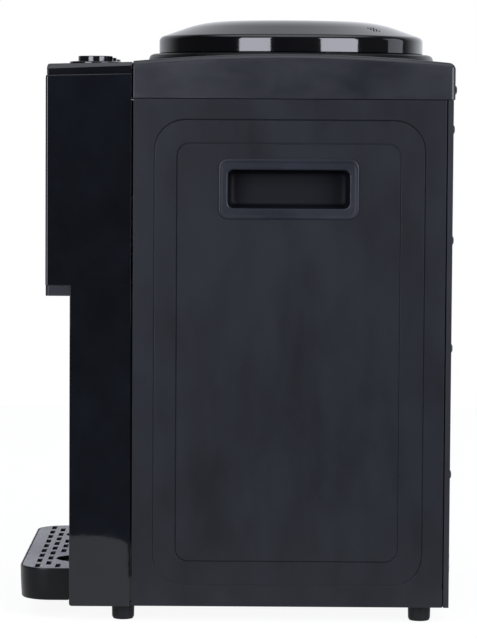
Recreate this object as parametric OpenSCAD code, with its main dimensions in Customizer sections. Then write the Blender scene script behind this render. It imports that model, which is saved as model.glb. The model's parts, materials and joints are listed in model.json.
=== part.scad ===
// Countertop water dispenser with three push-button taps, a cup bay with a drip
// tray, and a domed lid over the bottle receiver. Front is -Y, +Z is up, and the
// origin is on the table under the middle of the outline.

/* [Body] */
// Width over the two side panels
body_w = 310; // [308:1:312]
// Front face of the head, ahead of the origin
head_front = 164.3; // [162:0.1:165]
// Front face of the column cheeks, ahead of the origin
column_front = 143.4; // [142:0.1:145]
// Seam between the front fascia and the side panels, ahead of the origin
seam_front = 91; // [90:0.5:92]
// Back face of the back panel, behind the origin
back_y = 182.1; // [181:0.1:183]
// Underside of the body, which is the height of the feet
base_z = 13.6; // [12:0.1:15]
// Underside of the head, which is the roof of the cup bay
head_z = 279.4; // [278:0.2:284]
// Top of the side panels and foot of the top cover
panel_top = 447.8; // [446:0.1:449]
// Highest line of the arched top cover
crest_z = 485.8; // [485:0.1:486]
// Moulded wall thickness
wall = 3; // [2.6:0.1:3.2]

/* [Handles] */
// Length of the handle bezel
handle_l = 119.3; // [110:0.5:125]
// Height of the handle bezel
handle_h = 51.6; // [48:0.4:54]
// Depth of the finger pocket
handle_d = 24; // [20:1:28]

/* [Bottle receiver] */
// Radius of the collar flange
collar_r = 129; // [127:0.5:130]
// Radius of the lid band
lid_r = 118; // [116:0.5:119]
// Height of the lid above the collar
lid_rise = 29; // [27:0.5:31]
// Radius of the bore that takes the bottle's neck
neck_r = 30; // [29:0.5:31]

/* [Taps] */
// Distance between neighbouring taps
tap_pitch = 86.5; // [84:0.5:88]
// Radius of a push button
button_r = 15; // [14:0.5:16]
// Travel of a push button
button_travel = 5; // [4:0.5:5]

/* [Drip tray] */
// Front edge of the tray, ahead of the origin
tray_front = 188; // [186:0.2:190]
// Half width of the tray
tray_half_w = 138.5; // [136:0.5:145]
// Top of the tray rim
tray_top = 43.2; // [41:0.2:45]

/* [Hidden] */
$fn = 64;

half_w = body_w / 2;
skin_in = half_w - wall;
seam_y = -seam_front;
fascia_back = seam_y - 0.2;
edge_r = 3.5;

// Cup bay between the cheeks
bay_half = half_w - 8.5;
bay_skin = 2.5;
bay_back = -60;
column_bottom_r = 2;
column_drop = 0.5;

// Head and the sloping button panel on it
head_plate_h = 9;
fascia_z = head_z + head_plate_h;
panel_seam_front = 467.8;
panel_seam_back = 469;
panel_top_front = 476.6;
panel_top_back = 479;
panel_chamfer = 3.4;
panel_set = 0.5;
panel_slope = atan((panel_top_back - panel_top_front) / (head_front - seam_front));

// Arched top cover
cover_front = seam_y + 1;
cover_back = back_y + 1.5;
cover_foot = panel_top + 0.1;
arch_y = 44;
arch_r = 1414;
cover_fillet = 5.5;

// Bottle receiver and lid, which share one vertical axis
collar_y = 46;
collar_top = 489;
seat_z = 479.6;
throat_r = 111;
neck_top = 452;
neck_len = 20;
well_r = 27;
well_floor = 392;
outlet_r = 10;
lid_wall = 2.5;
lid_gap = 0.3;
skirt_drop = 2.8;

// Side panels
panel_front = seam_y + 1;
panel_back = 176.4;
handle_y = 42.55;
handle_z = 371.4;

// Taps, one under each push button
tap_x = [tap_pitch, 0, -tap_pitch];
button_y = -125.1;
button_top = 484.6;
ring_r = 22.5;
ring_top = 479.9;
ring_seat = 476.2;
sleeve_r = 17.5;
spring_floor = 464;
stem_r = 4;
lever_arm = 30;
valve_y = button_y + lever_arm / 2;
pivot_y = button_y + lever_arm;
pivot_z = 360;
pin_r = 2;
nose_r = 3;
press_r = 2.5;
press_z = pivot_z - 4;
touch_gap = 0.3;

// Tanks and the cooler behind the cold tank
tank_r = 75;
tank_z0 = 255;
tank_z1 = 384;
hot_xy = [-55, 40];
hot_r = 48;
hot_z0 = 72;
hot_z1 = 206;
spigot_r = 5;
spigot_l = 8;
room_port_z = 352;
hot_port_z = 192;
cooler_z = 326;
block_y0 = collar_y + tank_r;
peltier_y0 = block_y0 + 10;
sink_y0 = peltier_y0 + 4;
fan_y0 = sink_y0 + 23;
fan_half = 40;
fan_d = 15;

// Back panel fittings
back_front = 177.5;
switch_x = [-62, -38];
switch_z = 78;
inlet_x = -100;
drain_xz = [70, 40];

module extrude_x(x0, x1) {
  translate([x0, 0, 0]) rotate([90, 0, 90]) linear_extrude(x1 - x0) children();
}
module extrude_y(y0, y1) {
  translate([0, y1, 0]) rotate([90, 0, 0]) linear_extrude(y1 - y0) children();
}
module extrude_z(z0, z1) {
  translate([0, 0, z0]) linear_extrude(z1 - z0) children();
}
module box(lo, hi) {
  translate(lo) cube(hi - lo);
}
module rod_z(r, z0, z1, x = 0, y = 0) {
  translate([x, y, z0]) cylinder(r = r, h = z1 - z0);
}
module rod_y(r, y0, y1, x = 0, z = 0) {
  translate([x, y0, z]) rotate([-90, 0, 0]) cylinder(r = r, h = y1 - y0);
}
module rod_x(r, x0, x1, y = 0, z = 0) {
  translate([x0, y, z]) rotate([0, 90, 0]) cylinder(r = r, h = x1 - x0);
}
module mirrored() {
  children();
  mirror([1, 0, 0]) children();
}

// A rectangle with round corners, about its middle
module round_rect(w, h, r) {
  square([w - 2 * r, h], center = true);
  square([w, h - 2 * r], center = true);
  for (sx = [-1, 1])
    for (sy = [-1, 1])
      translate([sx * (w / 2 - r), sy * (h / 2 - r)]) circle(r);
}
// A plan outline with round front corners and a straight back edge
module front_rounded(half, y0, y1, r) {
  translate([-half, y0 + r]) square([2 * half, y1 - y0 - r]);
  translate([r - half, y0]) square([2 * (half - r), r + 1]);
  intersection() {
    for (s = [-1, 1]) translate([s * (half - r), y0 + r]) circle(r);
    translate([-half, y0]) square([2 * half, r + 0.5]);
  }
}
// What a round of radius r takes off an upper left corner at the origin
module corner_cut(r) {
  difference() {
    translate([-1, -r]) square([r + 1, r + 1]);
    translate([r, -r]) circle(r);
  }
}
// Places a rounded rectangle on a side panel, in its Y and Z
module on_panel(y0, y1, z0, z1, r) {
  translate([(y0 + y1) / 2, (z0 + z1) / 2]) round_rect(y1 - y0, z1 - z0, r);
}

// ---- Base ----
module base_pan() {
  front_half = bay_half - 0.3;
  rear_half = skin_in - 0.3;
  color("dimgray") difference() {
    union() {
      box([-front_half, -column_front + wall, base_z], [front_half, bay_back, base_z + wall]);
      box([-rear_half, seam_y + 0.5, base_z], [rear_half, bay_back, base_z + wall]);
      difference() {
        box([-rear_half, bay_back - 0.2, base_z], [rear_half, back_front - 0.3, base_z + 16]);
        box([2.5 - rear_half, bay_back + 5, base_z + wall],
            [rear_half - 2.5, back_front - 2.8, base_z + 17]);
        box([-rear_half - 1, bay_back - 1, base_z + wall], [rear_half + 1, bay_back + 5.1, base_z + 17]);
      }
    }
    for (p = foot_places()) rod_z(3.05, base_z - 1, base_z + wall + 1, p[0], p[1]);
    for (y = [100:12:148])
      for (x = [-90:30:90])
        box([x - 10, y - 2, base_z - 1], [x + 10, y + 2, base_z + wall + 1]);
  }
}
function foot_places() = [[135, -97.6], [-135, -97.6], [135, 158], [-135, 158]];
module foot(p) {
  color("#212226") translate([p[0], p[1], 0]) {
    translate([0, 0, 1.2]) cylinder(r1 = 9.4, r2 = 9.8, h = base_z - 1.2);
    cylinder(r1 = 8.2, r2 = 9.4, h = 1.2);
    rod_z(3, base_z - 0.5, base_z + wall - 0.2);
  }
}
module foot_front_right() { foot(foot_places()[0]); }
module foot_front_left() { foot(foot_places()[1]); }
module foot_rear_right() { foot(foot_places()[2]); }
module foot_rear_left() { foot(foot_places()[3]); }

// ---- Side panels with their pressed frame lines and handle cups ----
groove_w = 3;
groove_d = 1;
module frame_line(y0, y1, z0, z1, r) {
  extrude_x(half_w - groove_d, half_w + 1) difference() {
    on_panel(y0, y1, z0, z1, r);
    on_panel(y0 + groove_w, y1 - groove_w, z0 + groove_w, z1 - groove_w, r - groove_w);
  }
}
module side_panel() {
  color("#2c2f36") difference() {
    union() {
      box([skin_in, panel_front, base_z], [half_w, panel_back, panel_top]);
      box([skin_in - 2, panel_front, base_z + 20], [skin_in + 0.5, panel_front + 2.5, panel_top - 6]);
      box([skin_in - 9, panel_back - 2.5, base_z + 20], [skin_in + 0.5, panel_back, panel_top - 6]);
    }
    frame_line(-72.4, 159.1, 30.9, 430.7, 27);
    frame_line(-52.9, 138.1, 52.3, 410.2, 11);
    extrude_x(skin_in - 1, half_w + 1)
      translate([handle_y, handle_z]) round_rect(handle_l - 8, handle_h - 8, 6);
    for (z = screw_heights()) rod_y(1.8, panel_back - 5, panel_back + 1, screw_x, z);
  }
}
module side_panel_right() { side_panel(); }
module side_panel_left() { mirror([1, 0, 0]) side_panel(); }

pocket_l = handle_l - 15.8;
pocket_h = handle_h - 19.1;
module pocket_layer(depth, grow) {
  shrink = depth * 0.17;
  translate([handle_y, handle_z])
    round_rect(pocket_l - 2 * shrink + 2 * grow, pocket_h - 2 * shrink + 2 * grow, 5 + grow);
}
// The pocket narrows inwards in short steps, so each wall leans by about ten degrees
module pocket(depth, grow) {
  steps = 6;
  for (i = [0:steps - 1])
    extrude_x(half_w - depth * (i + 1) / steps, half_w - depth * i / steps + 0.01)
      pocket_layer(depth * i / steps, grow);
}
module handle_cup() {
  color("#34353d") difference() {
    union() {
      extrude_x(half_w, half_w + 1.2)
        translate([handle_y, handle_z]) round_rect(handle_l, handle_h, 8);
      extrude_x(skin_in - 2, half_w + 0.1)
        translate([handle_y, handle_z]) round_rect(handle_l - 8.6, handle_h - 8.6, 5.7);
      pocket(handle_d + 2, 2.2);
    }
    pocket(handle_d, 0);
    extrude_x(half_w - 0.01, half_w + 2) pocket_layer(0, 0);
  }
}
module handle_cup_right() { handle_cup(); }
module handle_cup_left() { mirror([1, 0, 0]) handle_cup(); }

// ---- Top cover: a low arch over the body, with a seat for the collar ----
module arch(r_out, half, fillet) {
  translate([0, arch_y, crest_z - arch_r]) rotate([0, -90, 0]) rotate(-7)
    rotate_extrude(angle = 14, $fn = 720) {
      translate([arch_r - 60, -half]) square([r_out - arch_r + 60 - fillet, 2 * half]);
      translate([arch_r - 60, fillet - half]) square([r_out - arch_r + 60, 2 * (half - fillet)]);
      for (s = [-1, 1])
        translate([r_out - fillet, s * (half - fillet)]) circle(fillet, $fn = 48);
    }
}
module cover_shape(inset) {
  intersection() {
    arch(arch_r - inset, half_w - inset, cover_fillet - inset);
    extrude_z(cover_foot, crest_z + 1) translate([0, (cover_front + cover_back) / 2])
      round_rect(body_w - 2 * inset, cover_back - cover_front - 2 * inset, edge_r - inset / 2);
  }
}
module top_cover() {
  color("#34373f") difference() {
    union() {
      difference() {
        cover_shape(0);
        translate([0, 0, -0.01]) cover_shape(wall);
      }
      rod_z(collar_r + 3.4, seat_z - 4, seat_z - 0.6, 0, collar_y);
      mirrored() box([skin_in - 4, -60, cover_foot - 8], [skin_in - 0.6, -20, cover_foot + 4]);
      mirrored() box([skin_in - 4, 100, cover_foot - 8], [skin_in - 0.6, 140, cover_foot + 4]);
      mirrored() box([skin_in - 4, -60, cover_foot], [skin_in + 0.5, -20, cover_foot + 4]);
      mirrored() box([skin_in - 4, 100, cover_foot], [skin_in + 0.5, 140, cover_foot + 4]);
    }
    rod_z(collar_r + 0.4, seat_z, crest_z + 1, 0, collar_y);
    rod_z(throat_r + 1, seat_z - 5, crest_z + 1, 0, collar_y);
    mirrored() rod_y(1.8, cover_back - wall - 1, cover_back + 1, screw_x, cover_screw_z);
  }
}

// ---- Front fascia: head shell and the two cheeks of the cup bay ----
module seam_wedge(drop) {
  extrude_x(-half_w - 1, half_w + 1) polygon([
    [-head_front - 1, panel_seam_front - drop], [seam_y + 1, panel_seam_back - drop],
    [seam_y + 1, 500], [-head_front - 1, 500]
  ]);
}
module column_side() {
  z0 = base_z - column_drop;
  translate([-column_front, z0 + column_bottom_r])
    square([column_front - seam_front, fascia_z - z0 - column_bottom_r]);
  translate([column_bottom_r - column_front, z0])
    square([column_front - seam_front - column_bottom_r, 10]);
  translate([column_bottom_r - column_front, z0 + column_bottom_r]) circle(column_bottom_r);
}
module front_fascia() {
  color("#14161c") union() {
    difference() {
      extrude_z(fascia_z, panel_top_back) front_rounded(half_w, -head_front, fascia_back, edge_r);
      extrude_z(fascia_z - 1, 490) front_rounded(skin_in, wall - head_front, seam_y + 1, 1.5);
      seam_wedge(0);
      for (x = [-14, 0, 14]) rod_y(2.2, -head_front - 1, wall - head_front + 1, x, 452);
    }
    difference() {
      intersection() {
        extrude_z(base_z - 1, fascia_z + 0.01) front_rounded(half_w, -column_front, fascia_back, edge_r);
        extrude_x(-half_w, half_w) column_side();
      }
      box([-bay_half, -column_front - 1, 0], [bay_half, seam_y + 1, 300]);
      mirrored() box([bay_half + bay_skin, bay_skin - column_front, base_z + bay_skin],
                     [skin_in, seam_y + 1, 300]);
    }
    mirrored() box([bay_half, -column_front + 6, fascia_z - 0.5],
                   [skin_in + 0.5, -column_front + 9, fascia_z + 14]);
    mirrored() box([bay_half, fascia_back - 1, base_z + wall + 0.4],
                   [bay_half + bay_skin, bay_back + wall, head_z - 0.2]);
  }
}
module splash_panel() {
  color("#101216") difference() {
    box([-bay_half + 0.2, bay_back, base_z + wall], [bay_half - 0.2, bay_back + wall, head_z - 0.2]);
    for (x = [-bay_half + 12, bay_half - 12])
      for (z = [60, 250])
        rod_y(1.6, bay_back + 1.2, bay_back + wall + 1, x, z);
  }
}
module head_underplate() {
  front_half = half_w - 0.8;
  bay_in = bay_half - 0.3;
  split = -column_front - 0.3;
  color("#303138") difference() {
    union() {
      extrude_z(head_z, fascia_z) front_rounded(front_half, 0.2 - head_front, split, 3);
      box([-bay_in, split - 0.1, head_z], [bay_in, bay_back + wall, fascia_z]);
    }
    extrude_z(head_z + wall, fascia_z + 1) front_rounded(front_half - 2.5, 2.7 - head_front, split - 2.5, 2);
    box([2.5 - bay_in, split - 3, head_z + wall], [bay_in - 2.5, bay_back + wall - 2.5, fascia_z + 1]);
    for (x = tap_x) rod_z(15, head_z - 1, head_z + wall + 1, x, valve_y);
  }
}

// ---- Button panel: the sloping cap of the head ----
module panel_side(inset) {
  y0 = inset + panel_set - head_front;
  y1 = fascia_back - inset;
  difference() {
    polygon([
      [y0, 440], [y0, panel_top_front - inset], [y1, panel_top_back - inset], [y1, 440]
    ]);
    translate([y0, panel_top_front - inset]) corner_cut(1.5);
  }
}
// The cap's section across the body, with a chamfer along each side edge
module panel_section(inset) {
  half = half_w - panel_set - inset;
  c = panel_chamfer - 0.6 * inset;
  polygon([[-half, -60], [-half, -c], [c - half, 0], [half - c, 0], [half, -c], [half, -60]]);
}
module panel_shape(inset) {
  half = half_w - panel_set - inset;
  intersection() {
    extrude_x(-half, half) panel_side(inset);
    extrude_z(440, 490)
      front_rounded(half, inset + panel_set - head_front, fascia_back - inset, edge_r);
    translate([0, -head_front, panel_top_front - inset]) rotate([panel_slope, 0, 0])
      extrude_y(-30, 110) panel_section(inset);
  }
}
module button_panel() {
  color("#2a2c31") difference() {
    intersection() {
      panel_shape(0);
      seam_wedge(-0.3);
    }
    translate([0, 0, -0.01]) panel_shape(wall);
    for (x = tap_x) {
      rod_z(sleeve_r + 0.2, 440, 490, x, button_y);
      rod_z(ring_r + 0.2, ring_seat, 490, x, button_y);
    }
  }
}
module button_ring(x) {
  color("#26272b") translate([x, button_y, 0]) difference() {
    union() {
      rotate_extrude() {
        translate([0, ring_seat]) square([ring_r, ring_top - ring_seat - 1.2]);
        square_top = ring_top - ring_seat;
        translate([0, ring_seat]) square([ring_r - 1.2, square_top]);
        translate([ring_r - 1.2, ring_top - 1.2]) circle(1.2);
      }
      rod_z(sleeve_r, spring_floor - 2, ring_seat + 1);
    }
    rod_z(button_r + 0.3, spring_floor, ring_top + 1);
    rod_z(stem_r + 0.3, spring_floor - 3, spring_floor + 1);
  }
}
module button_ring_cold() { button_ring(tap_x[0]); }
module button_ring_room() { button_ring(tap_x[1]); }
module button_ring_hot() { button_ring(tap_x[2]); }

button_roof = button_top - 3;
module push_button(x) {
  rim = 1.2;
  color("#17181c") translate([x, button_y, 0]) difference() {
    union() {
      rotate_extrude() {
        translate([0, 471]) square([button_r, button_top - 471 - rim]);
        translate([0, 471]) square([button_r - rim, button_top - 471]);
        translate([button_r - rim, button_top - rim]) circle(rim);
      }
      rod_z(stem_r, pivot_z + nose_r + touch_gap, button_roof + 1);
    }
    difference() {
      rod_z(button_r - 2, 470, button_roof);
      rod_z(stem_r, 469, button_roof + 1);
    }
    translate([0, 0, button_top + 38.6]) sphere(r = 40, $fn = 96);
  }
}
module button_cold() { push_button(tap_x[0]); }
module button_room() { push_button(tap_x[1]); }
module button_hot() { push_button(tap_x[2]); }

// A round wire swept along points, with flat ends
function unit(v) = v / norm(v);
function sweep_dir(p, i) = unit(p[min(i + 1, len(p) - 1)] - p[max(i - 1, 0)]);
function ring_points(p, i, r, sides) =
  let (d = sweep_dir(p, i), u = unit(cross(d, abs(d[2]) > 0.8 ? [1, 0, 0] : [0, 0, 1])), v = cross(d, u))
  [for (k = [0:sides - 1]) p[i] + r * (cos(360 * k / sides) * u + sin(360 * k / sides) * v)];
module sweep(p, r, sides) {
  n = len(p);
  pts = [for (i = [0:n - 1]) each ring_points(p, i, r, sides)];
  faces = [
    [for (k = [0:sides - 1]) k],
    [for (k = [0:sides - 1]) n * sides - 1 - k],
    for (i = [0:n - 2]) for (k = [0:sides - 1]) each let (a = i * sides, b = a + sides, m = (k + 1) % sides)
      [[a + k, b + k, b + m], [a + k, b + m, a + m]]
  ];
  polyhedron(pts, faces, convexity = 8);
}
spring_wire = 0.6;
spring_mean_r = 7;
spring_turns = 5;
module button_spring(x) {
  z0 = spring_floor + spring_wire + 0.05;
  z1 = button_roof - spring_wire - 0.05;
  steps = 12;
  color("silver") translate([x, button_y, 0]) sweep([
    for (i = [0:steps * spring_turns])
      [spring_mean_r * cos(360 * i / steps), spring_mean_r * sin(360 * i / steps),
       z0 + (z1 - z0) * i / (steps * spring_turns)]
  ], spring_wire, 6);
}
module button_spring_cold() { button_spring(tap_x[0]); }
module button_spring_room() { button_spring(tap_x[1]); }
module button_spring_hot() { button_spring(tap_x[2]); }

// ---- Taps: body with seat and spout, plunger, lever on its pin ----
spout_tip = 262;
spout_r = 8;
seat_low = 305;
guide_top = 340;
plunger_top = press_z - press_r - touch_gap;
module tap_body(x) {
  color("#d8d8d6") translate([x, valve_y, 0]) difference() {
    union() {
      rod_z(spout_r, spout_tip, fascia_z);
      rod_z(14, head_z + wall - 1, guide_top - 4);
      rod_z(20, fascia_z - 3, fascia_z + 1);
      box([-12, -12, guide_top - 8], [12, 24, guide_top]);
      for (s = [-1, 1]) {
        box([s * 8 - 1.5, lever_arm / 2 - 6, guide_top - 1], [s * 8 + 1.5, lever_arm / 2 + 6, pivot_z]);
        rod_x(6, s * 8 - 1.5, s * 8 + 1.5, lever_arm / 2, pivot_z);
      }
      rod_y(6, 0, 24, 0, 320);
    }
    rod_z(5, spout_tip - 1, seat_low + 3);
    rod_z(9.5, 295, seat_low);
    rod_z(9.5, seat_low + 2, guide_top - 8);
    rod_z(3.05, guide_top - 9, guide_top + 1);
    rod_y(4, 5, 25, 0, 320);
    rod_x(pin_r + 0.05, -12, 12, lever_arm / 2, pivot_z);
  }
}
module tap_body_cold() { tap_body(tap_x[0]); }
module tap_body_room() { tap_body(tap_x[1]); }
module tap_body_hot() { tap_body(tap_x[2]); }

module valve_plunger(x) {
  color("white") translate([x, valve_y, 0]) union() {
    rod_z(3, seat_low - 2, plunger_top - 3);
    rod_z(7.5, seat_low - 4, seat_low - 0.3);
    rod_z(5, plunger_top - 4, plunger_top);
  }
}
module valve_plunger_cold() { valve_plunger(tap_x[0]); }
module valve_plunger_room() { valve_plunger(tap_x[1]); }
module valve_plunger_hot() { valve_plunger(tap_x[2]); }

module tap_lever(x) {
  color("#c9cbd0") translate([x, 0, 0]) difference() {
    union() {
      rod_x(nose_r, -4, 4, button_y, pivot_z);
      rod_x(5, -5, 5, pivot_y, pivot_z);
      box([-4, button_y, pivot_z - 2.2], [4, pivot_y, pivot_z + 2.2]);
      rod_x(press_r, -4, 4, valve_y, press_z);
      box([-4, valve_y - press_r, press_z], [4, valve_y + press_r, pivot_z]);
    }
    rod_x(pin_r + 0.06, -6, 6, pivot_y, pivot_z);
  }
}
module tap_lever_cold() { tap_lever(tap_x[0]); }
module tap_lever_room() { tap_lever(tap_x[1]); }
module tap_lever_hot() { tap_lever(tap_x[2]); }
module lever_pins() {
  color("silver") for (x = tap_x) union() {
    rod_x(pin_r, x - 11, x + 11, pivot_y, pivot_z);
    rod_x(3.5, x - 11.5, x - 9.8, pivot_y, pivot_z);
  }
}

// Indicator lenses in the front of the head
module indicator_lights() {
  colours = ["red", "limegreen", "orange"];
  for (i = [0:2]) color(colours[i]) union() {
    rod_y(2.1, -head_front - 0.3, 6 - head_front, 14 * (i - 1), 452);
    rod_y(3, wall - head_front, 5 - head_front, 14 * (i - 1), 452);
  }
}

// ---- Bottle receiver, feed spike and lid, all turned about one axis ----
module turned() {
  translate([0, collar_y, 0]) rotate_extrude($fn = 128) children();
}
module bottle_receiver() {
  rim = 4.5;
  color("#1b1c20") difference() {
    union() {
      turned() difference() {
        union() {
          translate([0, seat_z + 0.1]) square([collar_r - rim, collar_top - seat_z - 0.1]);
          translate([0, seat_z + 0.1]) square([collar_r, collar_top - rim - seat_z - 0.1]);
          translate([collar_r - rim, collar_top - rim]) circle(rim);
          translate([0, 469]) square([throat_r, 17]);
          polygon([[0, 446], [neck_r + 6, 446], [throat_r, 470], [0, 470]]);
          translate([0, well_floor]) square([neck_r + 3, neck_top - well_floor]);
          translate([0, well_floor - 16]) square([outlet_r, 20]);
        }
        polygon([
          [0, 500], [throat_r - wall, 500], [throat_r - wall, 473], [neck_r + 2, neck_top],
          [neck_r, neck_top], [neck_r, neck_top - neck_len], [well_r, neck_top - neck_len - 3],
          [well_r, well_floor + 3], [0, well_floor + 3]
        ]);
      }
    }
    rod_z(outlet_r - 2.5, well_floor - 17, well_floor + 4, 0, collar_y);
    for (a = [45:90:315])
      translate([0, collar_y, 0]) rotate(a) translate([120, 0, collar_top - 1]) cylinder(r = 2.6, h = 2);
  }
}
module feed_spike() {
  spike_r = 11;
  tip_z = neck_top - neck_len - 3;
  foot_z = well_floor + wall;
  color("white") translate([0, collar_y, 0]) difference() {
    union() {
      rod_z(16, foot_z, foot_z + 2);
      rod_z(spike_r, foot_z, tip_z - 8);
      translate([0, 0, tip_z - 8]) cylinder(r1 = spike_r, r2 = 4, h = 8);
    }
    rod_z(8, foot_z - 1, tip_z - 12);
    for (a = [0, 90]) rotate(a) box([-14, -3, foot_z + 8], [14, 3, tip_z - 14]);
  }
}

dome_top = collar_top + lid_rise;
// Arc from a to b degrees about a centre, as points of an outline
function arc(c, r, a, b, n) = [for (i = [0:n]) c + r * [cos(a + (b - a) * i / n), sin(a + (b - a) * i / n)]];
// Outline of the lid's outer skin: nearly flat crown, bent shoulder, cone and round rim
crown_r = 2400;
shoulder_r = 112;
rim_r = 8;
crown_end = 90 - 1.45;
cone_tilt = 90 - 19.5;
crown_c = [0, dome_top - crown_r];
shoulder_c = crown_c + (crown_r - shoulder_r) * [cos(crown_end), sin(crown_end)];
shoulder_end = shoulder_c + shoulder_r * [cos(cone_tilt), sin(cone_tilt)];
cone_dir = [sin(cone_tilt), -cos(cone_tilt)];
rim_run = (lid_r - rim_r - (shoulder_end[0] - rim_r * cos(cone_tilt))) / cone_dir[0];
rim_c = shoulder_end + rim_run * cone_dir - rim_r * [cos(cone_tilt), sin(cone_tilt)];
function lid_outline(inset) = [
  [0, dome_top - inset],
  each arc(crown_c, crown_r - inset, 90 - 0.3, crown_end, 4),
  each arc(shoulder_c, shoulder_r - inset, crown_end, cone_tilt, 10),
  each arc(rim_c, rim_r - inset, cone_tilt, 0, 8)
];
module lid() {
  band_z = collar_top + lid_gap;
  vents = [[0, 0], [2.6, 0], [5.2, 0], [1.3, 2.3], [3.9, 2.3], [6.5, 2.3], [0, 4.6], [2.6, 4.6], [5.2, 4.6]];
  color("#0e0f11") difference() {
    union() {
      turned() difference() {
        polygon([each lid_outline(0), [lid_r, band_z], [0, band_z]]);
        polygon([each lid_outline(lid_wall), [lid_r - lid_wall, band_z - 1], [0, band_z - 1]]);
      }
      turned() {
        translate([throat_r - wall - 3, collar_top - skirt_drop]) square([2.5, skirt_drop + 8]);
        translate([throat_r - wall - 3, collar_top + 4]) square([lid_r - throat_r + wall + 1, 2]);
      }
    }
    for (v = vents) rod_z(0.6, 480, 530, 66 + v[0], 112 + v[1]);
  }
}

// ---- Drip tray and its lift-out grate ----
tray_back = -64;
tray_floor = 17;
tray_low = 15.1;
tray_step = -column_front - 1.4;
tray_corner = 27;
tray_wall = 2.5;
grate_t = 2;
module tray_plan(inset, y1) {
  front_rounded(tray_half_w - inset, inset - tray_front, y1, tray_corner - inset);
}
module drip_tray() {
  color("#2a2a31") difference() {
    union() {
      extrude_z(tray_top - 9, tray_top) tray_plan(0, tray_back);
      extrude_z(tray_floor + 8, tray_top - 9) tray_plan(0.3, tray_back);
      extrude_z(tray_floor, tray_floor + 8) tray_plan(0.6, tray_back);
      extrude_z(tray_low + 1, tray_floor) tray_plan(0.9, tray_step);
      extrude_z(tray_low, tray_low + 1) tray_plan(1.8, tray_step);
    }
    extrude_z(tray_floor + 2.5, tray_top + 1) tray_plan(tray_wall + 1.5, tray_back - tray_wall - 1.5);
    extrude_z(tray_top - grate_t - 0.2, tray_top + 1) tray_plan(tray_wall - 0.9, tray_back - tray_wall + 0.9);
  }
}
slot_w = 20;
slot_h = 4.4;
slot_pitch = 30.4;
row_pitch = 8.8;
first_row = 15.6;
row_count = 12;
finger_r = 20;
finger_x = 77;
finger_y = -138.8;
function near_finger(x, y) = abs(abs(x) - finger_x) < finger_r + slot_w / 2 + 1.5
  && abs(y - finger_y) < finger_r + slot_h / 2 + 1.5;
module drip_grate() {
  z1 = tray_top;
  color("#95959e") difference() {
    extrude_z(z1 - grate_t, z1) tray_plan(tray_wall - 0.5, tray_back - tray_wall + 0.5);
    for (row = [0:row_count - 1]) {
      y = first_row + row * row_pitch - tray_front;
      half_count = row % 2 == 0 ? 4 : 3.5;
      for (k = [-half_count:half_count])
        if (!near_finger(k * slot_pitch, y))
          extrude_z(z1 - 3, z1 + 1) translate([k * slot_pitch, y]) round_rect(slot_w, slot_h, 1);
    }
    for (s = [-1, 1]) rod_z(finger_r, z1 - 3, z1 + 1, s * finger_x, finger_y);
  }
}

// ---- Back panel with its louvres, screws, switches, inlet and drain ----
function screw_heights() = [128.1, 236.3, 328.5, 422.8];
screw_x = half_w - 6;
cover_screw_z = 456.3;
module back_panel() {
  color("#25262a") difference() {
    union() {
      box([-half_w, back_front, base_z], [half_w, back_y, panel_top]);
      box([4 - half_w, back_front - 1.1, base_z + 22], [half_w - 4, back_front + 0.5, panel_top - 8]);
    }
    box([-half_w + 16, back_y - 2, base_z + 16], [half_w - 16, back_y + 1, panel_top - 16]);
    for (z = [cooler_z - 35:7:cooler_z + 35])
      box([-36, back_front - 3, z - 1.75], [36, back_y + 1, z + 1.75]);
    for (s = [-1, 1])
      for (z = [120:8:240])
        box([s * 90 - 30, back_front - 3, z - 1.75], [s * 90 + 30, back_y + 1, z + 1.75]);
    mirrored() for (z = screw_heights()) rod_y(1.8, back_front - 2, back_y + 1, screw_x, z);
    box([-76, back_front - 3, switch_z - 16], [-24, back_y + 1, switch_z + 16]);
    box([inlet_x - 15, back_front - 3, switch_z - 12], [inlet_x + 15, back_y + 1, switch_z + 12]);
    rod_y(8.3, back_front - 3, back_y + 1, drain_xz[0], drain_xz[1]);
  }
}
module back_screw(z, y) {
  difference() {
    union() {
      rod_y(1.7, y - 9, y + 1, screw_x, z);
      rod_y(3.9, y, y + 0.8, screw_x, z);
      rod_y(3.1, y + 0.7, y + 1.4, screw_x, z);
    }
    box([screw_x - 2.4, y + 0.6, z - 0.45], [screw_x + 2.4, y + 2, z + 0.45]);
    box([screw_x - 0.45, y + 0.6, z - 2.4], [screw_x + 0.45, y + 2, z + 2.4]);
  }
}
module back_screws() {
  color("#3a3b40") mirrored() {
    for (z = screw_heights()) back_screw(z, back_y);
    back_screw(cover_screw_z, cover_back);
  }
}

pivot_switch_y = back_front + 1;
module switch_housing() {
  color("#1c1d20") difference() {
    union() {
      box([-78, back_y - 2, switch_z - 18], [-22, back_y - 0.4, switch_z + 18]);
      box([-75.7, 158, switch_z - 15.7], [-24.3, back_y - 1, switch_z + 15.7]);
    }
    for (x = switch_x) box([x - 8.3, 160, switch_z - 12.3], [x + 8.3, back_y + 1, switch_z + 12.3]);
    rod_x(1.55, -74, -26, pivot_switch_y, switch_z);
  }
}
// A rocker with two faces that meet at a shallow angle over its pivot
module rocker(x, tint) {
  color(tint) union() {
    extrude_x(x - 7.7, x + 7.7) polygon([
      [pivot_switch_y - 4, switch_z - 9], [pivot_switch_y + 2, switch_z - 10.5],
      [pivot_switch_y + 3, switch_z], [pivot_switch_y + 5.5, switch_z + 10.5],
      [pivot_switch_y - 4, switch_z + 9]
    ]);
    rod_x(1.5, x - 9.8, x + 9.8, pivot_switch_y, switch_z);
  }
}
module rocker_hot() { rocker(switch_x[0], "#a01c1c"); }
module rocker_cold() { rocker(switch_x[1], "#1d5d38"); }

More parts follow.
